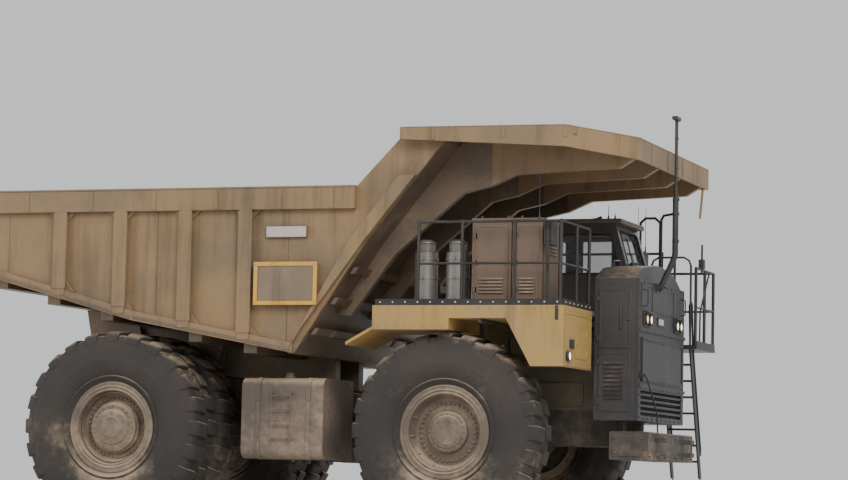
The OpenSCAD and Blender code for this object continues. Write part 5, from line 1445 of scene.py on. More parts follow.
@dataclass
class DeckTrim(Assembly):
    """Toe boards, bolts, rail feet and the treads of the landing and ladder."""

    layout: Layout
    toe: float = 0.11
    foot: float = 0.07
    landing_drop: float = 0.48
    grating_bars: int = 16
    steps: int = 7
    step_run: float = 0.86
    lowest_step: float = 1.06

    def build(self) -> None:
        """Makes every piece of the deck's trim."""
        for side in Side:
            self.fender(side)
            self.rail_feet(side)
        self.ladder()
        self.deck_top()

    def fender(self, side: Side) -> None:
        """Adds the toe boards, the band's bolts, front plate edges and brackets below."""
        mesh = Mesh()
        s = side.value
        out, deck, front = s * self.layout.deck_half, self.layout.deck, self.layout.deck_front
        rear = self.layout.front - 1.29
        toe, dots = Mesh(), Mesh()
        toe.plate(1, out - s * 0.012, s * 0.012, (rear + 0.05, deck), (front - 0.02, deck + self.toe))
        toe.plate(0, front - 0.012, 0.012, (s * 1.76, deck), (out, deck + self.toe))
        self.add(toe, f"toe_boards_{side.word}", "rail_paint", bevel=0.002)
        dots.bolt_row((rear + 0.15, out, deck + 0.055), (front - 0.12, out, deck + 0.055), 15, (0, s, 0), 0.017, 0.010)
        dots.bolt_row((front, s * 1.9, deck + 0.055), (front, s * 3.4, deck + 0.055), 7, AHEAD, 0.017, 0.010)
        self.add(dots, f"toe_bolts_{side.word}", "fender_paint", finish=PALE_PLATE)
        mesh.bolt_row((rear + 0.1, out, deck - 0.055), (front - 0.1, out, deck - 0.055), 17, (0, s, 0), 0.014, 0.013)
        mesh.bolt_row((rear + 0.1, out, deck - 0.38), (self.layout.front, out, deck - 0.38), 8, (0, s, 0), 0.014, 0.013)
        mesh.bolt_row((front, s * 1.85, deck - 0.06), (front, s * 3.4, deck - 0.06), 9, AHEAD, 0.014, 0.013)
        mesh.border(0, front, 0.010, (s * 1.78, 2.95), (s * 3.46, 3.90), 0.045)
        mesh.bolts([(front + 0.01, s * y, z) for y in (1.81, 2.6, 3.43) for z in (2.98, 3.43, 3.87)], AHEAD, 0.014,
                   0.012)
        mesh.plate(0, front, 0.012, (s * 2.1, 3.1), (s * 2.8, 3.65))
        for z in (3.2, 3.55):
            mesh.cylinder((front + 0.014, s * 2.12, z - 0.05), (front + 0.014, s * 2.12, z + 0.05), 0.013, 10)
        mesh.plate(0, front + 0.012, 0.02, (s * 2.70, 3.33), (s * 2.76, 3.43))
        self.add(mesh, f"fender_fittings_{side.word}", "fender_paint", bevel=0.003)
        marks = Mesh()
        marks.box((front + 0.012, s * 2.93, 3.26), (front + 0.034, s * 3.13, 3.42))
        marks.cylinder((front - 0.13, s * 3.47, 3.74), (front - 0.13, s * 3.47, 3.99), 0.045, 16)
        marks.bolts([(front - 0.13, s * 3.47, 3.99)], UP, 0.03, 0.02)
        self.add(marks, f"fender_marks_{side.word}", "cab_plastic", bevel=0.003)
        under = Mesh()
        for x in (self.layout.front + 0.7, front - 0.5, front - 0.2):
            under.box((x - 0.03, s * 1.76, deck - 0.30), (x + 0.03, s * 3.42, deck - 0.23))
        self.add(under, f"fender_ribs_{side.word}", "frame_steel", bevel=0.003)

    def rail_feet(self, side: Side) -> None:
        """Adds base plates with bolts under the rail posts, and sleeves at the joints."""
        mesh = Mesh()
        s = side.value
        deck = self.layout.deck
        x0, x1 = self.layout.front - 0.45, self.layout.deck_front - 0.08
        y = s * (self.layout.deck_half - 0.04)
        posts = [(x0 + (x1 - x0) * t, y) for t in (0.0, 0.31, 0.68, 1.0)]
        if side is Side.LEFT:
            posts += [(x0, s * 2.60), (x0, s * self.layout.fender_in + 0.03)]
        else:
            posts += [(x1, s * 2.48), (x1, s * 1.72)]
        for x, post_y in posts:
            mesh.box((x - self.foot, post_y - self.foot if s > 0 else post_y - 0.03, deck),
                     (x + self.foot, post_y + 0.03 if s > 0 else post_y + self.foot, deck + 0.014))
            for z in (deck + 0.74, deck + 1.48):
                mesh.cylinder((x, post_y, z - 0.045), (x, post_y, z + 0.03), 0.036, 12)
            mesh.spun((x, post_y, deck + 0.014), UP, [(0.02, 0.0), (0.048, 0.0), (0.038, 0.03), (0.02, 0.03)], 16)
            mesh.bolts([(x + dx, post_y - s * 0.05, deck + 0.014) for dx in (-0.05, 0.05)], UP, 0.011, 0.012)
        self.add(mesh, f"rail_feet_{side.word}", "rail_paint")

    def ladder(self) -> None:
        """Adds tread strips on the landing and each step, hand bars and the hanging lowest step."""
        low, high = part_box("landing_ladder")
        mesh = Mesh()
        front = high.x - 0.01
        ladder = (front - 0.73, front - 0.15)
        base = self.layout.deck - self.landing_drop
        floor_z = base + 0.06
        for i in range(self.grating_bars):
            y = 1.98 + 1.44 * i / (self.grating_bars - 1)
            mesh.box((low.x + 0.04, y - 0.006, floor_z - 0.005), (front - 0.05, y + 0.006, floor_z + 0.014))
        mesh.plate(0, front - 0.016, 0.012, (1.97, floor_z), (3.43, floor_z + 0.10))
        mesh.plate(1, 3.43, 0.012, (low.x + 0.02, floor_z), (front - 0.01, floor_z + 0.10))
        for i in range(1, self.steps + 1):
            share = i / (self.steps + 1)
            y = 1.96 + 0.13 + self.step_run * share
            z = base - (base - self.lowest_step) * share + 0.03
            for k in range(3):
                rib = y + 0.012 + 0.04 * k
                mesh.box((ladder[0] + 0.03, rib, z - 0.004), (ladder[1] - 0.03, rib + 0.01, z + 0.012))
        self.add(mesh, "ladder_treads", "rail_paint")
        bars = Mesh()
        bend = ((2.10, 3.62), (2.02, 4.35), (2.12, 4.44), (2.22, 4.38), (2.32, 3.60), (3.02, 1.62), (3.0, 1.50))
        for x in (ladder[0] + 0.015, ladder[1] - 0.015):
            bars.tube([(x, y, z) for y, z in bend], 0.019, 10)
        for x in (ladder[0] + 0.02, ladder[1] - 0.02):
            bars.box((x - 0.006, 3.00, 0.62), (x + 0.006, 3.06, 1.20))
        hoop = ((front - 0.14, floor_z), (front - 0.14, 5.12), (front - 0.18, 5.22), (front - 0.28, 5.28),
                (low.x + 0.24, 5.28), (low.x + 0.14, 5.22), (low.x + 0.10, 5.12), (low.x + 0.10, floor_z))
        bars.tube([(x, 2.0, z) for x, z in hoop], 0.021, 10)
        bars.tube([(front - 0.03, 2.30, floor_z), (front - 0.03, 2.32, 4.25), (front - 0.03, 2.98, 5.01)], 0.017, 10)
        bars.box((ladder[0] + 0.01, 2.97, 0.62), (ladder[1] - 0.01, 3.09, 0.65))
        bars.bolts([(ladder[0] + 0.026, 3.03, z) for z in (1.10, 1.16)], AHEAD, 0.01, 0.012)
        self.add(bars, "ladder_hand_bars", "rail_paint")

    def deck_top(self) -> None:
        """Adds deck hatches, hinges and lifting handles between the fenders."""
        low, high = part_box("deck")
        mesh = Mesh()
        for x0, x1, y0, y1 in ((low.x + 0.15, low.x + 0.95, -1.5, -0.2), (low.x + 0.15, low.x + 0.95, 0.0, 0.85),
                               (low.x + 1.2, low.x + 2.2, -1.5, 0.8), (low.x + 2.35, low.x + 3.3, -1.5, 0.8)):
            mesh.plate(2, high.z, 0.010, (x0, y0), (x1, y1))
            top, middle = high.z + 0.01, (x0 + x1) / 2
            for y in (y0 + 0.04, y1 - 0.04):
                mesh.bolt_row((x0 + 0.04, y, top), (x1 - 0.04, y, top), 5, UP, 0.011, 0.008)
            mesh.handle((middle - 0.08, y1 - 0.12, top), (middle + 0.08, y1 - 0.12, top), (0, 0, 0.04), 0.008)
        self.add(mesh, "deck_hatches", "deck_steel", bevel=0.002)


@dataclass
class CabTrim(Assembly):
    """Window seals, wipers, door fittings, roof trim and what shows through the glass."""

    layout: Layout
    width: float = 1.60
    sill: float = 4.88
    lean: float = 0.28
    window_low: float = 4.90
    window_high: float = 5.65
    seal: float = 0.016

    def screen_x(self, z: float) -> float:
        """Front face of the windshield's plane at a height."""
        return self.layout.cab_high.x - max(0.0, z - self.sill) * self.lean / 0.97

    def build(self) -> None:
        """Makes every piece of the cab's trim."""
        self.left = self.layout.cab_low.y + self.width
        self.seals()
        self.wipers()
        self.panels()
        self.roof()
        self.door()
        self.inside()
        Cushions(self.wardrobe).build()

    def window(self, x0: float, y: float, inset: float = 0.0) -> list[Point]:
        """Corners of a side window, closed, from its rear edge to the leaning pillar."""
        z0, z1 = self.window_low + inset, self.window_high - inset
        front = [self.screen_x(z) - 0.15 - 2 * inset for z in (self.window_low, self.window_high)]
        corners = [(x0 + inset, y, z0), (front[0], y, z0), (front[1], y, z1), (x0 + inset, y, z1)]
        return corners + corners[:2]

    def seals(self) -> None:
        """Adds rubber seals round the fixed windows."""
        mesh = Mesh()
        low, left = self.layout.cab_low, self.left
        mesh.tube(self.window(low.x + 0.25, low.y), self.seal, 8)
        mesh.tube(self.window(low.x + 1.04, left), self.seal, 8)
        y0, y1 = low.y + 0.18, left - 0.18
        screen = [(self.screen_x(z) - 0.004, y, z) for y, z in ((y0, 4.96), (y1, 4.96), (y1, 5.74), (y0, 5.74))]
        mesh.tube(screen + screen[:2], self.seal, 8)
        back = [(low.x, y, z) for y, z in ((y0 + 0.17, 4.90), (y1 - 0.17, 4.90), (y1 - 0.17, 5.60), (y0 + 0.17, 5.60))]
        mesh.tube(back + back[:2], self.seal, 8)
        self.add(mesh, "cab_window_seals", "tyre_rubber")

    def wipers(self) -> None:
        """Adds two wipers on the windshield."""
        mesh = Mesh()
        for y in (self.layout.cab_low.y + 0.45, self.left - 0.62):
            boss = [(0, 0), (0.03, 0), (0.03, 0.04), (0.018, 0.055), (0, 0.055)]
            mesh.spun((self.screen_x(4.92) - 0.01, y, 4.92), AHEAD, boss, 16)
            mesh.tube([(self.screen_x(4.92) + 0.035, y, 4.92), (self.screen_x(5.1) + 0.03, y + 0.08, 5.1),
                       (self.screen_x(5.32) + 0.004, y + 0.17, 5.32)], 0.008, 8)
            a, b = Vector((self.screen_x(5.05) - 0.015, y + 0.14, 5.05)), Vector((self.screen_x(5.62) - 0.015, y + 0.20,
                                                                                  5.62))
            mesh.tube([a, b], 0.009, 6)
            mesh.tube([a + Vector((-0.012, 0, 0)), b + Vector((-0.012, 0, 0))], 0.005, 6)
        self.add(mesh, "cab_wipers", "cab_plastic")

    def panels(self) -> None:
        """Adds pressed panels, grab bars, vents and bolts on the cab's fixed walls."""
        mesh = Mesh()
        low, high, left = self.layout.cab_low, self.layout.cab_high, self.left
        mesh.plate(1, low.y, -0.010, (low.x + 0.10, 4.2), (low.x + 0.72, 4.82))
        mesh.plate(1, low.y, -0.010, (low.x + 0.80, 4.2), (high.x - 0.10, 4.82))
        mesh.bolt_row((low.x + 0.06, low.y, 4.16), (high.x - 0.06, low.y, 4.16), 9, (0, -1, 0), 0.011, 0.010)
        mesh.handle((high.x - 0.12, low.y, 4.35), (high.x - 0.12, low.y, 4.80), (0, -0.08, 0), 0.014)
        mesh.plate(0, high.x, 0.010, (1.72, 4.2), (left - 0.10, 4.80))
        mesh.bolt_row((high.x, 1.68, 4.15), (high.x, left - 0.05, 4.15), 6, AHEAD, 0.011, 0.010)
        mesh.handle((high.x, left - 0.07, 4.30), (high.x, left - 0.07, 4.80), (0.07, 0, 0), 0.014)
        mesh.louvres(0, low.x, -0.025, (low.y + 0.40, 4.30), (left - 0.40, 4.70), 6)
        mesh.border(0, low.x, -0.008, (low.y + 0.36, 4.26), (left - 0.36, 4.74), 0.03)
        mesh.handle((low.x + 0.06, left, 4.40), (low.x + 0.06, left, 5.30), (0, 0.09, 0), 0.015)
        mesh.handle((high.x - 0.10, left, 4.35), (high.x - 0.10, left, 4.85), (0, 0.09, 0), 0.015)
        for x in (low.x + 0.03, high.x - 0.03):
            mesh.box((x - 0.02, left - 0.01, 4.11), (x + 0.02, left + 0.006, 4.84))
        self.add(mesh, "cab_wall_fittings", "cab_paint", bevel=0.003)

    def roof(self) -> None:
        """Adds the drip rail, roof rim, roof ribs, front bolts, horn and short aerials."""
        low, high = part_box("cab_roof")
        mesh = Mesh()
        mesh.border(2, high.z, 0.012, (low.x + 0.01, low.y + 0.01), (high.x - 0.01, high.y - 0.01), 0.025)
        for y in (low.y + 0.42, (low.y + high.y) / 2, high.y - 0.42):
            mesh.box((low.x + 0.12, y - 0.05, high.z - 0.002), (high.x - 0.25, y + 0.05, high.z + 0.014))
        ring = [(low.x, low.y), (high.x, low.y), (high.x, high.y), (low.x, high.y), (low.x, low.y), (high.x, low.y)]
        mesh.tube([(x, y, high.z - 0.065) for x, y in ring], 0.013, 8)
        mesh.bolt_row((high.x, low.y + 0.1, high.z - 0.03), (high.x, high.y - 0.1, high.z - 0.03), 8, AHEAD, 0.010,
                      0.008)
        self.add(mesh, "cab_roof_trim", "roof_paint", bevel=0.003)
        rods = Mesh()
        for x, top in ((5.155, 6.20), (5.285, 6.05)):
            rods.spun((x, 1.0, high.z), UP, [(0, 0), (0.03, 0), (0.03, 0.012), (0.015, 0.03), (0.015, 0.07), (0, 0.07)],
                      16)
            rods.cylinder((x, 1.0, high.z + 0.06), (x, 1.0, top), 0.008, 8, 0.005)
        rods.spun((low.x + 0.55, 1.75, high.z + 0.06), AHEAD,
                  [(0, 0), (0.03, 0), (0.035, 0.10), (0.05, 0.22), (0.085, 0.31), (0.08, 0.31), (0.03, 0.20),
                   (0, 0.19)], 24)
        rods.box((low.x + 0.60, 1.72, high.z), (low.x + 0.66, 1.78, high.z + 0.05))
        self.add(rods, "cab_roof_aerials", "rail_paint")

    def door(self) -> None:
        """Adds the door's seal, pressed panel, grab handle, latch lever and bolts, which swing with it."""
        low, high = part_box("cab_door")
        y, x0, x1 = self.left, low.x + 0.02, high.x
        seal = Mesh()
        bottom, top = self.window_low, self.window_high
        frame_line = [(x0 + 0.10, y, bottom), (x1 - 0.10, y, bottom), (x1 - 0.10, y, top), (x0 + 0.10, y, top)]
        seal.tube(frame_line + frame_line[:2], 0.013, 8)
        self.add(seal, "cab_door_seal", "tyre_rubber", "cab_door")
        mesh = Mesh()
        mesh.plate(1, y, 0.010, (x0 + 0.09, 4.26), (x1 - 0.06, 4.80))
        mesh.border(1, y + 0.010, 0.006, (x0 + 0.11, 4.28), (x1 - 0.08, 4.78), 0.02)
        mesh.handle((x1 - 0.05, y, 4.92), (x1 - 0.05, y, 5.35), (0, 0.06, 0), 0.012)
        mesh.plate(1, y + 0.002, 0.012, (x1 - 0.115, 4.815), (x1 - 0.015, 4.875))
        mesh.tube([(x1 - 0.10, y + 0.02, 4.845), (x1 - 0.10, y + 0.045, 4.845), (x1 - 0.03, y + 0.045, 4.845)], 0.008,
                  8)
        mesh.bolt_row((x0 + 0.13, y, 4.215), (x1 - 0.10, y, 4.215), 5, (0, 1, 0), 0.010, 0.008)
        self.add(mesh, "cab_door_fittings", "cab_paint", "cab_door", bevel=0.002)

    def inside(self) -> None:
        """Adds the dashboard's hood, dials, screen, levers, pedals and sun visor."""
        mesh, dials, glass = Mesh(), Mesh(), Mesh()
        front = self.layout.cab_high.x - 0.38
        y = self.layout.cab_low.y + self.width / 2 + 0.025
        mesh.prism([(front - 0.03, 4.76), (front + 0.16, 4.80), (front + 0.16, 4.87), (front - 0.05, 4.84)], 1,
                   y - 0.38, y + 0.38)
        mesh.prism([(front - 0.03, 4.60), (front + 0.004, 4.60), (front + 0.004, 4.76), (front - 0.02, 4.76)], 1,
                   y - 0.34, y + 0.34)
        dial = [(0, 0), (0.046, 0), (0.046, 0.012), (0.040, 0.012), (0.038, 0.006), (0, 0.005)]
        for dy in (-0.24, -0.12, 0.0, 0.12, 0.24):
            dials.spun((front - 0.02, y + dy, 4.69), (-1, 0, -0.1), dial, 24)
        mesh.box((front + 0.02, y - 0.62, 4.80), (front + 0.06, y - 0.40, 5.00))
        glass.box((front + 0.014, y - 0.605, 4.815), (front + 0.0205, y - 0.415, 4.985))
        for dy in (-0.42, 0.40):
            mesh.tube([(front - 0.55, y + dy, 4.56), (front - 0.53, y + dy, 4.74)], 0.010, 8)
            mesh.spun((front - 0.53, y + dy, 4.73), UP,
                      [(0, 0), (0.018, 0.005), (0.024, 0.03), (0.016, 0.055), (0, 0.06)], 14)
            mesh.box((front - 0.80, y + dy - 0.07, 4.50), (front - 0.40, y + dy + 0.07, 4.565))
            mesh.box((front - 0.75, y + dy - 0.05, 4.101), (front - 0.45, y + dy + 0.05, 4.50))
        for dy in (-0.18, 0.02, 0.2):
            pedal = [(front - 0.10, 4.22), (front - 0.08, 4.24), (front - 0.02, 4.36), (front - 0.04, 4.37)]
            mesh.prism(pedal, 1, y + dy - 0.045, y + dy + 0.045)
            mesh.tube([(front - 0.05, y + dy, 4.30), (front + 0.01, y + dy, 4.34)], 0.008, 6)
        mesh.prism([(5.20, 5.84), (5.21, 5.84), (5.24, 5.68), (5.23, 5.68)], 1, y - 0.45, y + 0.45)
        self.add(mesh, "cab_dashboard", "cab_plastic", bevel=0.004)
        self.add(dials, "cab_dials", "cab_plastic", finish=PALE_PLATE)
        self.add(glass, "cab_screen", "cab_glass")


@dataclass
class Cushions(Assembly):
    """The driver's seat: two stuffed cushions with piping, on a sprung foot."""

    voxel: float = 0.012
    pressure: float = 4.0
    swell: float = 0.022

    def build(self) -> None:
        """Makes the seat's two cushions in place of the plain blocks."""
        low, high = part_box("cab_seat")
        seat = self.cushion("cab_seat_cushion", (low.x + 0.175, low.y, low.z + 0.002), (high.x, high.y, low.z + 0.138),
                            True)
        back = self.cushion("cab_seat_back", (low.x, low.y, low.z + 0.002), (low.x + 0.163, high.y, high.z), False)
        for piece in (seat, back):
            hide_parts("cab_seat")
        mesh = Mesh()
        for y in (low.y + 0.02, high.y - 0.02):
            mesh.box((low.x + 0.24, y - 0.012, low.z - 0.06), (high.x - 0.06, y + 0.012, low.z - 0.002))
            mesh.tube([(low.x + 0.14, y, low.z + 0.08), (low.x + 0.20, y, low.z - 0.03),
                       (low.x + 0.30, y, low.z - 0.04)], 0.012, 8)
        self.add(mesh, "cab_seat_brackets", "cab_plastic", bevel=0.002)

    def cushion(self, name: str, low: Point, high: Point, flat: bool) -> Object:
        """Blows up a cushion by cloth pressure and sews piping on it.

        Args:
            name: the piece's name.
            low: lowest corner of the room it fills.
            high: highest corner.
            flat: whether it lies flat rather than standing.
        Returns:
            The cushion.
        """
        centre = (Vector(low) + Vector(high)) / 2
        size = Vector(high) - Vector(low)
        thin = 2 if flat else 0
        mesh = Mesh()
        shrink = Vector([0.030] * 3)
        shrink[thin] = 2 * self.swell + 0.008
        mesh.box(centre - (size - shrink) / 2, centre + (size - shrink) / 2)
        made = mesh.make(name)
        remesh = made.modifiers.new("remesh", "REMESH")
        remesh.mode, remesh.voxel_size = "VOXEL", self.voxel
        self.applied(made)
        rest = [v.co.copy() for v in made.data.vertices]
        cloth = made.modifiers.new("cloth", "CLOTH")
        cloth.settings.use_pressure = True
        cloth.settings.uniform_pressure_force = self.pressure
        cloth.settings.effector_weights.gravity = 0.0
        for step in range(1, 21):
            bpy.context.scene.frame_set(step)
        self.applied(made)
        bpy.context.scene.frame_set(1)
        half = size / 2
        for vertex, start in zip(made.data.vertices, rest):
            move = vertex.co - start
            if move.length > self.swell:
                vertex.co = start + move.normalized() * self.swell
            place = vertex.co - centre
            for axis in range(3):
                other = [a for a in range(3) if a not in (axis, thin)]
                if axis != thin and other:
                    along = abs(place[other[0]]) / half[other[0]]
                    place[axis] *= 1.0 - 0.03 * (1.0 - min(1.0, along)) ** 0.5
                place[axis] = max(-half[axis], min(half[axis], place[axis]))
            for groove in (-0.3, 0.3):
                across = place.y / size.y - groove
                place[thin] *= 1.0 - 0.14 * exp(-(across / 0.018) ** 2)
            vertex.co = centre + place
        made.data.shade_smooth()
        made.data.materials.append(self.wardrobe.of("seat_cloth"))
        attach(made, "chassis")
        self.piping(name, centre, half, thin)
        return made

    @staticmethod
    def applied(made: Object) -> None:
        """Bakes an object's modifiers into its mesh."""
        graph = bpy.context.evaluated_depsgraph_get()
        baked = bpy.data.meshes.new_from_object(made.evaluated_get(graph))
        made.modifiers.clear()
        made.data = baked

    def piping(self, name: str, centre: Vector, half: Vector, thin: int) -> None:
        """Sews a cord round both faces of a cushion."""
        mesh = Mesh()
        a, b = [i for i in range(3) if i != thin]
        for sign in (-1, 1):
            line = []
            for sa, sb in ((-1, -1), (1, -1), (1, 1), (-1, 1), (-1, -1), (1, -1)):
                point = centre.copy()
                point[a] += sa * (half[a] - 0.016)
                point[b] += sb * (half[b] - 0.016)
                point[thin] += sign * (half[thin] - 0.026)
                line.append(point)
            mesh.tube(line, 0.005, 8)
        self.add(mesh, name + "_piping", "seat_cloth")


@dataclass
class DeckGear(Assembly):
    """Cabinets, air cleaners, mirrors, mast and aerials on the deck."""

    layout: Layout

    def build(self) -> None:
        """Makes every piece of the deck's gear."""
        self.cabinets()
        self.cleaners()
        self.mirrors()
        self.mast()
        self.aerials()

    def cabinets(self) -> None:
        """Adds doors, hinges, latches, louvres, rims and eyes on both cabinets."""
        low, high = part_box("deck_cabinet")
        mesh = Mesh()
        for x0, x1 in ((low.x, low.x + 0.73), (low.x + 0.75, high.x)):
            for y, s in ((low.y, -1), (high.y, 1)):
                mesh.plate(1, y, s * 0.018, (x0 + 0.05, low.z + 0.10), (x1 - 0.05, high.z - 0.10))
                mesh.border(1, y + s * 0.018, s * 0.008, (x0 + 0.07, low.z + 0.12), (x1 - 0.07, high.z - 0.12), 0.03)
                for z in (low.z + 0.30, (low.z + high.z) / 2, high.z - 0.30):
                    mesh.cylinder((x0 + 0.042, y + s * 0.02, z - 0.06), (x0 + 0.042, y + s * 0.02, z + 0.06), 0.014, 12)
                    mesh.box((x0 + 0.04, y, z - 0.05), (x0 + 0.12, y + s * 0.026, z + 0.05))
                mesh.box((x1 - 0.13, y, low.z + 0.72), (x1 - 0.09, y + s * 0.04, low.z + 0.86))
                mesh.louvres(1, y + s * 0.018, s * 0.03, (x0 + 0.14, low.z + 0.22), (x1 - 0.14, low.z + 0.52), 5)
            mesh.border(2, high.z - 0.03, 0.045, (x0 - 0.012, low.y - 0.012), (x1 + 0.012, high.y + 0.012), 0.035)
            for x in (x0 + 0.12, x1 - 0.12):
                mesh.tube([(x, low.y + 0.15, high.z), (x, low.y + 0.15, high.z + 0.05),
                           (x, low.y + 0.20, high.z + 0.07),
                           (x, low.y + 0.25, high.z + 0.05), (x, low.y + 0.25, high.z)], 0.010, 8)
        mesh.plate(0, high.x, 0.016, (low.y + 0.08, low.z + 0.12), (high.y - 0.08, high.z - 0.12))
        mesh.louvres(0, high.x + 0.016, 0.03, (low.y + 0.2, high.z - 0.62), (high.y - 0.2, high.z - 0.25), 6)
        mesh.bolt_row((high.x, low.y + 0.04, low.z + 0.06), (high.x, high.y - 0.04, low.z + 0.06), 7, AHEAD, 0.011,
                      0.01)
        self.add(mesh, "deck_cabinet_fittings", "cabinet_paint", bevel=0.003)

    def cleaners(self) -> None:
        """Adds bands, ribs, rain caps and ducts on the air cleaners."""
        low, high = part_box("air_cleaners")
        radius, y = 0.21, (low.y + high.y) / 2
        mesh, ducts = Mesh(), Mesh()
        for x in (low.x + radius, high.x - radius):
            for z in (low.z + 0.14, low.z + 0.52, low.z + 0.86):
                mesh.band((x, y, z), UP, radius - 0.01, radius + 0.012, 0.045, 56)
                mesh.box((x - 0.025, y - radius - 0.035, z - 0.004), (x + 0.025, y - radius + 0.01, z + 0.05))
            for t in turns(28):
                c, s = cos(t), sin(t)
                mesh.cylinder((x + 0.153 * c, y + 0.153 * s, low.z + 1.02),
                              (x + 0.153 * c, y + 0.153 * s, high.z - 0.03), 0.007, 6)
            cap = [(0, 0.03), (0.165, 0), (0.172, 0.012), (0.165, 0.035), (0.09, 0.075), (0, 0.085)]
            mesh.spun((x, y, high.z - 0.03), UP, cap, 56)
            mesh.bolt_ring((x, y, low.z + 1.0), UP, 0.19, 10, 0.011, 0.01)
            for t in turns(4, 0.785):
                a, b = x + (radius + 0.01) * cos(t), y + (radius + 0.01) * sin(t)
                mesh.box((a - 0.03, b - 0.03, low.z), (a + 0.03, b + 0.03, low.z + 0.03))
            ducts.tube([(x, y + radius - 0.03, low.z + 0.66), (x, y + radius + 0.12, low.z + 0.66),
                        (x, y + 0.45, low.z + 0.60),
                        (x, y + 0.52, low.z + 0.45), (x, y + 0.52, low.z + 0.002)], 0.085, 20)
            for z in (low.z + 0.10, low.z + 0.36):
                ducts.band((x, y + 0.52, z), UP, 0.08, 0.094, 0.022, 32)
        self.add(mesh, "air_cleaner_bands", "cleaner_steel", bevel=0.002)
        self.add(ducts, "air_cleaner_ducts", "tyre_rubber")

    def mirrors(self) -> None:
        """Adds mirror glasses, rims, clamps and stays."""
        rims, glass = Mesh(), Mesh()
        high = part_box("mirrors")[1]
        x = self.layout.deck_front - 0.37
        top = high.z
        for s in (-1, 1):
            y0, y1 = sorted((s * (high.y - 0.03), s * (high.y - 0.39)))
            rims.border(0, x - 0.06, -0.014, (y0, top - 0.40), (y1, top), 0.022)
            glass.plate(0, x - 0.06, -0.006, (y0 + 0.022, top - 0.378), (y1 - 0.022, top - 0.022))
            post = s * (high.y - 0.03)
            for z in (top - 0.34, top - 0.08):
                rims.band((x, post, z), UP, 0.02, 0.046, 0.05, 16)
            rims.tube([(x, post, top - 0.45), (x + 0.03, post + s * 0.06, top - 0.62),
                       (x + 0.03, post + s * 0.15, self.layout.deck + 0.745)], 0.012, 8)
        self.add(rims, "mirror_rims", "rail_paint")
        self.add(glass, "mirror_glasses", "cab_glass", finish=MIRROR)

    def mast(self) -> None:
        """Adds clamps, stiffeners and the cap on the front mast."""
        low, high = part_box("mast")
        x, y = high.x - 0.05, -0.4
        mesh = Mesh()
        for z in (5.35, 5.85, 6.12):
            mesh.band((x, y, z), UP, 0.045, 0.064, 0.05, 24)
        mesh.spun((x, y, 6.17), UP, [(0.02, -0.03), (0.055, -0.02), (0.05, 0.02), (0.032, 0.05), (0.02, 0.05)], 24)
        for z in (6.7, 7.25):
            mesh.band((x, y, z), UP, 0.02, 0.038, 0.03, 16)
        for s in (-1, 1):
            foot = [(low.x + 0.03, low.z + 0.04), (low.x + 0.17, low.z + 0.10), (low.x + 0.03, low.z + 0.15)]
            mesh.prism(foot, 1, y + s * 0.075, y + s * 0.063)
        mesh.bolts([(low.x + 0.03, y + dy, low.z + dz) for dy in (-0.10, 0.10) for dz in (0.03, 0.13)], AHEAD, 0.014,
                   0.014)
        mesh.box((x - 0.03, y - 0.13, high.z - 0.075), (x + 0.03, y + 0.13, high.z - 0.06))
        self.add(mesh, "mast_clamps", "rail_paint")

    def aerials(self) -> None:
        """Adds the thin whips on the side rails and mirrors."""
        mesh = Mesh()
        deck = self.layout.deck
        spring = [(0, 0), (0.026, 0), (0.026, 0.06), (0.014, 0.08), (0.012, 0.16), (0, 0.165)]
        whips = ((5.075, 3.46, deck + 1.505, 6.42), (5.275, 3.27, deck + 1.48, 6.35), (5.16, -3.46, deck + 1.505, 6.30))
        for x, y, z, top in whips:
            mesh.spun((x, y, z - 0.03), UP, spring, 16)
            mesh.cylinder((x, y, z + 0.10), (x, y, top), 0.007, 8, 0.004)
        self.add(mesh, "rail_whips", "rail_paint")


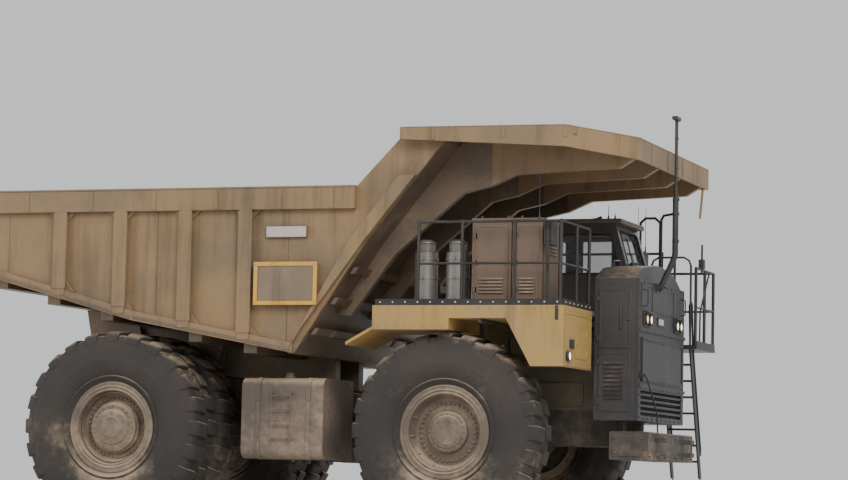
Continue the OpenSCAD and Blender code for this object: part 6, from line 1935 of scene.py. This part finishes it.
@dataclass
class Running(Assembly):
    """Collars, boots, straps, pipes and bolts on the frame, hoists, struts, tanks and axle."""

    layout: Layout

    def build(self) -> None:
        """Makes every piece of the running gear's trim."""
        for side in Side:
            self.hoist(side)
            self.tank(side)
            self.rail(side)
            self.knuckle(side)
            self.steer(side)
        self.struts()
        self.axle()
        self.engine()

    def hoist(self, side: Side) -> None:
        """Adds the barrel's gland, band and ports."""
        low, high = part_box(f"hoist_barrel_{side.word}")
        x, y = (low.x + high.x) / 2, (low.y + high.y) / 2
        radius = (high.x - low.x) / 2
        mesh = Mesh()
        gland = [(radius - 0.01, 0), (radius + 0.014, 0), (radius + 0.014, 0.06), (radius - 0.01, 0.068)]
        mesh.spun((x, y, high.z - 0.07), UP, gland, 48)
        mesh.band((x, y, low.z + 0.42), UP, radius - 0.01, radius + 0.010, 0.05, 48)
        mesh.bolt_ring((x, y, high.z), UP, radius - 0.02, 12, 0.012, 0.012)
        out = side.value
        mesh.cylinder((x, y + out * (radius - 0.01), low.z + 0.55), (x, y + out * (radius + 0.05), low.z + 0.55), 0.035,
                      16)
        mesh.cylinder((x, y + out * (radius - 0.01), high.z - 0.2), (x, y + out * (radius + 0.045), high.z - 0.2),
                      0.028, 16)
        mesh.tube([(x, y + out * (radius + 0.035), low.z + 0.55), (x, y + out * (radius + 0.035), high.z - 0.2)], 0.016,
                  10)
        self.add(mesh, f"hoist_collar_{side.word}", "hoist_paint", f"hoist_barrel_{side.word}", bevel=0.002)

    def tank(self, side: Side) -> None:
        """Adds straps, filler, gauge, rungs and drain on one tank."""
        low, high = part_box(f"tank_{side.word}")
        s = side.value
        y = s * max(abs(low.y), abs(high.y))
        r = 0.18
        mesh = Mesh()
        for x in (low.x + 0.28, high.x - 0.34):
            inner = s * min(abs(low.y), abs(high.y)) + s * 0.02
            over = self.strap_arc(y, s, low.z, high.z, r, r + 0.012)
            under = self.strap_arc(y, s, low.z, high.z, r, r - 0.01)
            outline = [(inner, high.z + 0.012)] + over + [(inner, low.z - 0.012),
                                                          (inner, low.z)] + under[::-1] + [(inner, high.z)]
            rows = [mesh.ring([(px, a, b) for a, b in outline]) for px in (x, x + 0.09)]
            mesh.skin(rows)
            mesh.bolts([(x + 0.045, y + s * 0.012, z) for z in (low.z + 0.4, high.z - 0.4)], (0, s, 0), 0.018, 0.022)
        filler = [(0, 0), (0.10, 0), (0.10, 0.03), (0.075, 0.035), (0.075, 0.08), (0.065, 0.095), (0, 0.095)]
        mesh.spun((low.x + 0.80, y - s * 0.35, high.z), UP, filler, 36)
        mesh.box((low.x + 0.78, y - s * 0.35 - 0.09, high.z + 0.08),
                 (low.x + 0.82, y - s * 0.35 + 0.09, high.z + 0.105))
        for x in (low.x + 0.62, low.x + 1.0):
            out, bottom, top = y + s * 0.09, low.z + 0.35, high.z - 0.28
            mesh.tube([(x, y, bottom), (x, out, bottom), (x, out, top), (x, y, top)], 0.014, 8)
        for k in range(4):
            z = low.z + 0.38 + 0.25 * k
            mesh.box((low.x + 0.62, y + s * 0.06, z), (low.x + 1.0, y + s * 0.10, z + 0.025))
        mesh.spun((low.x, y - s * 0.5, low.z + 0.9), (-1, 0, 0),
                  [(0, 0), (0.07, 0), (0.07, 0.02), (0.05, 0.03), (0, 0.03)], 28)
        mesh.bolt_row((low.x + 0.03, y, low.z + 0.25), (low.x + 0.03, y, high.z - 0.25), 6, (0, s, 0), 0.010, 0.010)
        mesh.cylinder((low.x + 0.8, y - s * 0.6, low.z + 0.01), (low.x + 0.8, y - s * 0.6, low.z - 0.05), 0.035, 14)
        self.add(mesh, f"tank_fittings_{side.word}", "tank_paint", bevel=0.002)

    @staticmethod
    def strap_arc(y: float, s: int, low: float, high: float, corner: float, radius: float) -> list[Flat]:
        """A strap's line over the tank's two outer corners, from its top down.

        Args:
            y: the tank's outer face.
            s: sign of the side.
            low: the tank's underside.
            high: the tank's top.
            corner: radius of the tank's corners.
            radius: radius of the line.
        Returns:
            Pairs of Y and Z.
        """
        steps = [k * pi / 16 for k in range(9)]
        middle = y - s * corner
        top = [(middle + s * radius * sin(t), high - corner + radius * cos(t)) for t in steps]
        return top + [(middle + s * radius * cos(t), low + corner - radius * sin(t)) for t in steps]

    def rail(self, side: Side) -> None:
        """Adds rigid pipes with clips, rows of bolts and doubler plates on a frame rail."""
        s = side.value
        out = s * 0.74
        shift = self.layout.rear
        pipes, plates = Mesh(), Mesh()
        for i, z in enumerate((1.99, 2.04, 2.09)):
            pipes.tube([(shift + 2.3, out + s * 0.024, z), (shift + 4.95, out + s * 0.024, z)], 0.014 - 0.002 * i, 8)
        for x in (2.6, 3.3, 4.0, 4.7):
            pipes.box((shift + x, out, 1.96), (shift + x + 0.05, out + s * 0.045, 2.12))
        for x in (1.9, 4.9, 7.2):
            plates.plate(1, out, s * 0.012, (shift + x, 1.68), (shift + x + 0.42, 1.92))
            seats = [(shift + x + dx, out + s * 0.012, z) for dx in (0.06, 0.21, 0.36) for z in (1.72, 1.88)]
            plates.bolts(seats, (0, s, 0), 0.018, 0.018)
        plates.bolt_row((shift + 7.3, out, 2.18), (shift + 8.8, out, 2.18), 8, (0, s, 0), 0.016, 0.014)
        plates.plate(1, out, s * 0.012, (shift + 8.2, 1.66), (shift + 8.85, 2.14))
        plates.plate(1, out, s * 0.010, (shift - 1.72, 2.80), (shift - 1.20, 2.88))
        self.add(pipes, f"frame_pipes_{side.word}", "link_iron")
        self.add(plates, f"frame_plates_{side.word}", "frame_steel", bevel=0.002)

    def knuckle(self, side: Side) -> None:
        """Adds the steering arm's nut, the grease cap and the spindle's flange."""
        s = side.value
        mesh = Mesh()
        x, y = self.layout.front, s * 1.9
        mesh.cylinder((x - 0.6, y, 1.24), (x - 0.6, y, 1.20), 0.05, 6)
        mesh.spun((x, y, 1.24), (0, 0, -1), [(0, 0), (0.19, 0), (0.17, 0.03), (0.09, 0.05), (0, 0.05)], 36)
        mesh.spun((x, y + s * 0.215, self.layout.axle), (0, s, 0), [(0.19, 0), (0.30, 0), (0.30, 0.04), (0.19, 0.06)],
                  48)
        mesh.bolt_ring((x, y + s * 0.255, self.layout.axle), (0, s, 0), 0.265, 12, 0.016, 0.018)
        self.add(mesh, f"knuckle_fittings_{side.word}", "link_iron", f"knuckle_{side.word}", bevel=0.002)

    def steer(self, side: Side) -> None:
        """Adds the gland at the steering barrel's open end."""
        s = side.value
        start = Vector((2.705, s * 0.91, 1.63))
        eye = Vector((3.025, s * 1.91, 1.63))
        way = (eye - start).normalized()
        mesh = Mesh()
        end = start + way * 0.66
        mesh.spun(end - way * 0.07, way, [(0.066, 0), (0.078, 0), (0.078, 0.05), (0.066, 0.055)], 32)
        self.add(mesh, f"steer_gland_{side.word}", "hoist_paint", f"steer_barrel_{side.word}")

    def struts(self) -> None:
        """Adds folded boots on the four struts."""
        mesh = Mesh()
        for s in (-1, 1):
            x, y = self.layout.front, s * 1.9
            for k in range(5):
                fold = [(0.205, 0), (0.222, 0.006), (0.236, 0.027), (0.222, 0.048), (0.205, 0.054)]
                mesh.spun((x, y, 2.29 + 0.055 * k), UP, fold, 40)
            x, y = self.layout.rear - 1.1, s * 0.63
            for k in range(7):
                fold = [(0.140, 0), (0.156, 0.006), (0.168, 0.027), (0.156, 0.048), (0.140, 0.054)]
                mesh.spun((x, y, 1.86 + 0.055 * k), UP, fold, 36)
        self.add(mesh, "strut_boots", "tyre_rubber")

    def axle(self) -> None:
        """Adds the rear cover, flanges with bolts and ribs on the axle housing."""
        mesh = Mesh()
        x, z = self.layout.rear, self.layout.axle
        cover = [(0, 0), (0.30, 0), (0.30, 0.05), (0.27, 0.065), (0.20, 0.07), (0.17, 0.10), (0, 0.10)]
        mesh.spun((x - 0.46, 0, z), (-1, 0, 0), cover, 64)
        mesh.bolt_ring((x - 0.525, 0, z), (-1, 0, 0), 0.275, 16, 0.018, 0.02)
        for s in (-1, 1):
            for y in (0.52, 1.02):
                mesh.band((x, s * y, z), (0, s, 0), 0.48, 0.535, 0.045, 72)
                mesh.bolt_ring((x, s * (y + 0.045), z), (0, s, 0), 0.512, 28, 0.014, 0.014)
        for angle in (0.5, 1.2, 1.94, 2.64):
            c, si = cos(angle), sin(angle)
            for s in (-1, 1):
                corners = ((0.47, 0.012), (0.53, 0.012), (0.53, -0.012), (0.47, -0.012))
                mesh.prism([(x + r * c - t * si, z + r * si + t * c) for r, t in corners], 1, s * 0.56, s * 1.02)
        self.add(mesh, "rear_axle_fittings", "axle_iron", bevel=0.002)

    def engine(self) -> None:
        """Adds heads, manifolds, covers and pulleys on the engine's plain block."""
        low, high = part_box("engine_block")
        mesh = Mesh()
        for s in (-1, 1):
            y = s * high.y
            for k in range(6):
                x = low.x + 0.14 + 0.28 * k
                mesh.box((x, y - s * 0.02, high.z - 0.42), (x + 0.22, y + s * 0.07, high.z - 0.12))
                bend = ((0, -0.5), (0.10, -0.52), (0.12, -0.60))
                mesh.tube([(x + 0.11, y + s * out, high.z + up) for out, up in bend], 0.04, 12)
            mesh.cylinder((low.x + 0.12, y + s * 0.12, high.z - 0.63), (high.x - 0.15, y + s * 0.12, high.z - 0.63),
                          0.06, 16)
            mesh.box((low.x + 0.3, y, low.z + 0.08), (high.x - 0.3, y + s * 0.05, low.z + 0.5))
            seat, level = y + s * 0.05, low.z + 0.12
            mesh.bolt_row((low.x + 0.34, seat, level), (high.x - 0.34, seat, level), 9, (0, s, 0), 0.012, 0.012)
        for y, z, r in ((0.0, low.z + 0.35, 0.16), (-0.3, low.z + 0.75, 0.11), (0.32, low.z + 0.8, 0.09)):
            mesh.spun((high.x, y, z), AHEAD,
                      [(0, 0), (r, 0), (r, 0.015), (r - 0.03, 0.03), (r, 0.045), (r, 0.06), (0, 0.06)], 36)
        self.add(mesh, "engine_fittings", "engine_iron", bevel=0.003)


@dataclass
class Stage:
    """Floor, light and camera."""

    focal_pixels: float = 2843.0
    frame_width: float = 848.0
    sensor: float = 36.0
    yaw: float = 19.5
    pitch: float = 5.0
    roll: float = 1.18
    camera_ahead: float = 22.79
    camera_right: float = 50.88
    camera_height: float = 0.76
    rear_axle_x: float = -2.975
    far: float = 500.0
    floor_half: float = 420.0
    world_strength: float = 0.88

    def camera(self) -> None:
        """Sets the camera where the photograph was taken from."""
        data = bpy.data.cameras.new("camera")
        data.sensor_width = self.sensor
        data.lens = self.sensor * self.focal_pixels / self.frame_width
        data.clip_end = self.far
        made = bpy.data.objects.new("camera", data)
        bpy.context.scene.collection.objects.link(made)
        yaw, pitch, roll = (radians(v) for v in (self.yaw, self.pitch, self.roll))
        ahead = Vector((-sin(yaw) * cos(pitch), cos(yaw) * cos(pitch), sin(pitch)))
        right = Vector((cos(yaw), sin(yaw), 0.0))
        up = right.cross(ahead)
        turned_right = right * cos(roll) + up * sin(roll)
        turned_up = up * cos(roll) - right * sin(roll)
        place = Vector((self.camera_ahead + self.rear_axle_x, -self.camera_right, self.camera_height))
        made.matrix_world = Matrix((
            (turned_right.x, turned_up.x, -ahead.x, place.x),
            (turned_right.y, turned_up.y, -ahead.y, place.y),
            (turned_right.z, turned_up.z, -ahead.z, place.z),
            (0.0, 0.0, 0.0, 1.0),
        ))
        bpy.context.scene.camera = made

    def light(self) -> None:
        """Sets the soft studio lights and the pale surroundings."""
        world = bpy.data.worlds.new("studio")
        bpy.context.scene.world = world
        world.use_nodes = True
        back = world.node_tree.nodes["Background"]
        back.inputs["Color"].default_value = (0.86, 0.87, 0.89, 1.0)
        back.inputs["Strength"].default_value = self.world_strength
        for name, place, power, size in (
            ("key", (16.0, -22.0, 18.0), 3900.0, 12.0),
            ("fill", (-18.0, -16.0, 12.0), 1100.0, 14.0),
            ("back", (4.0, 24.0, 16.0), 3600.0, 14.0),
        ):
            data = bpy.data.lights.new(name, "AREA")
            data.energy = power
            data.shape = "DISK"
            data.size = size
            made = bpy.data.objects.new(name, data)
            bpy.context.scene.collection.objects.link(made)
            made.location = place
            made.rotation_euler = (Vector((0.0, 0.0, 3.0)) - Vector(place)).to_track_quat("-Z", "Y").to_euler()

    def floor(self) -> None:
        """Lays the plain pale floor."""
        mesh = Mesh()
        half = self.floor_half
        mesh.box((-half, -half, -0.05), (half, half, 0.0))
        made = mesh.make("floor")
        material = bpy.data.materials.new("pale floor")
        material.use_nodes = True
        graph = Graph(material.node_tree)
        shader = material.node_tree.nodes["Principled BSDF"]
        where = graph.node("ShaderNodeTexCoord").outputs["Object"]
        graph.put(shader.inputs["Base Color"],
                  graph.mix(graph.noise(where, 0.3), (0.74, 0.73, 0.71), (0.80, 0.79, 0.77)))
        shader.inputs["Roughness"].default_value = 0.9
        made.data.materials.append(material)


def main() -> None:
    """Builds every piece in order."""
    logging.basicConfig(level=logging.INFO, format="%(name)s: %(message)s")
    stage = Stage()
    stage.camera()
    stage.light()
    stage.floor()
    wardrobe = Wardrobe()
    wardrobe.dress_nodes()
    tyre = Tyre(wardrobe)
    rim = Rim(wardrobe)
    inner, outer = 1.83, 3.10
    for side in Side:
        low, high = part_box(f"tyre_front_{side.word}")
        tyre.build(f"tyre_front_{side.word}", f"wheel_front_{side.word}", [(low.y + high.y) / 2])
        tyre.build(f"tyre_rear_{side.word}", f"wheel_rear_{side.word}", [side.value * inner, side.value * outer])
        rim.front(side)
        rim.rear(side, inner, outer)
    layout = Layout()
    for part in (BedTrim, FrontEnd, DeckTrim, CabTrim, DeckGear, Running):
        part(wardrobe, layout).build()


if __name__ == "__main__":
    main()
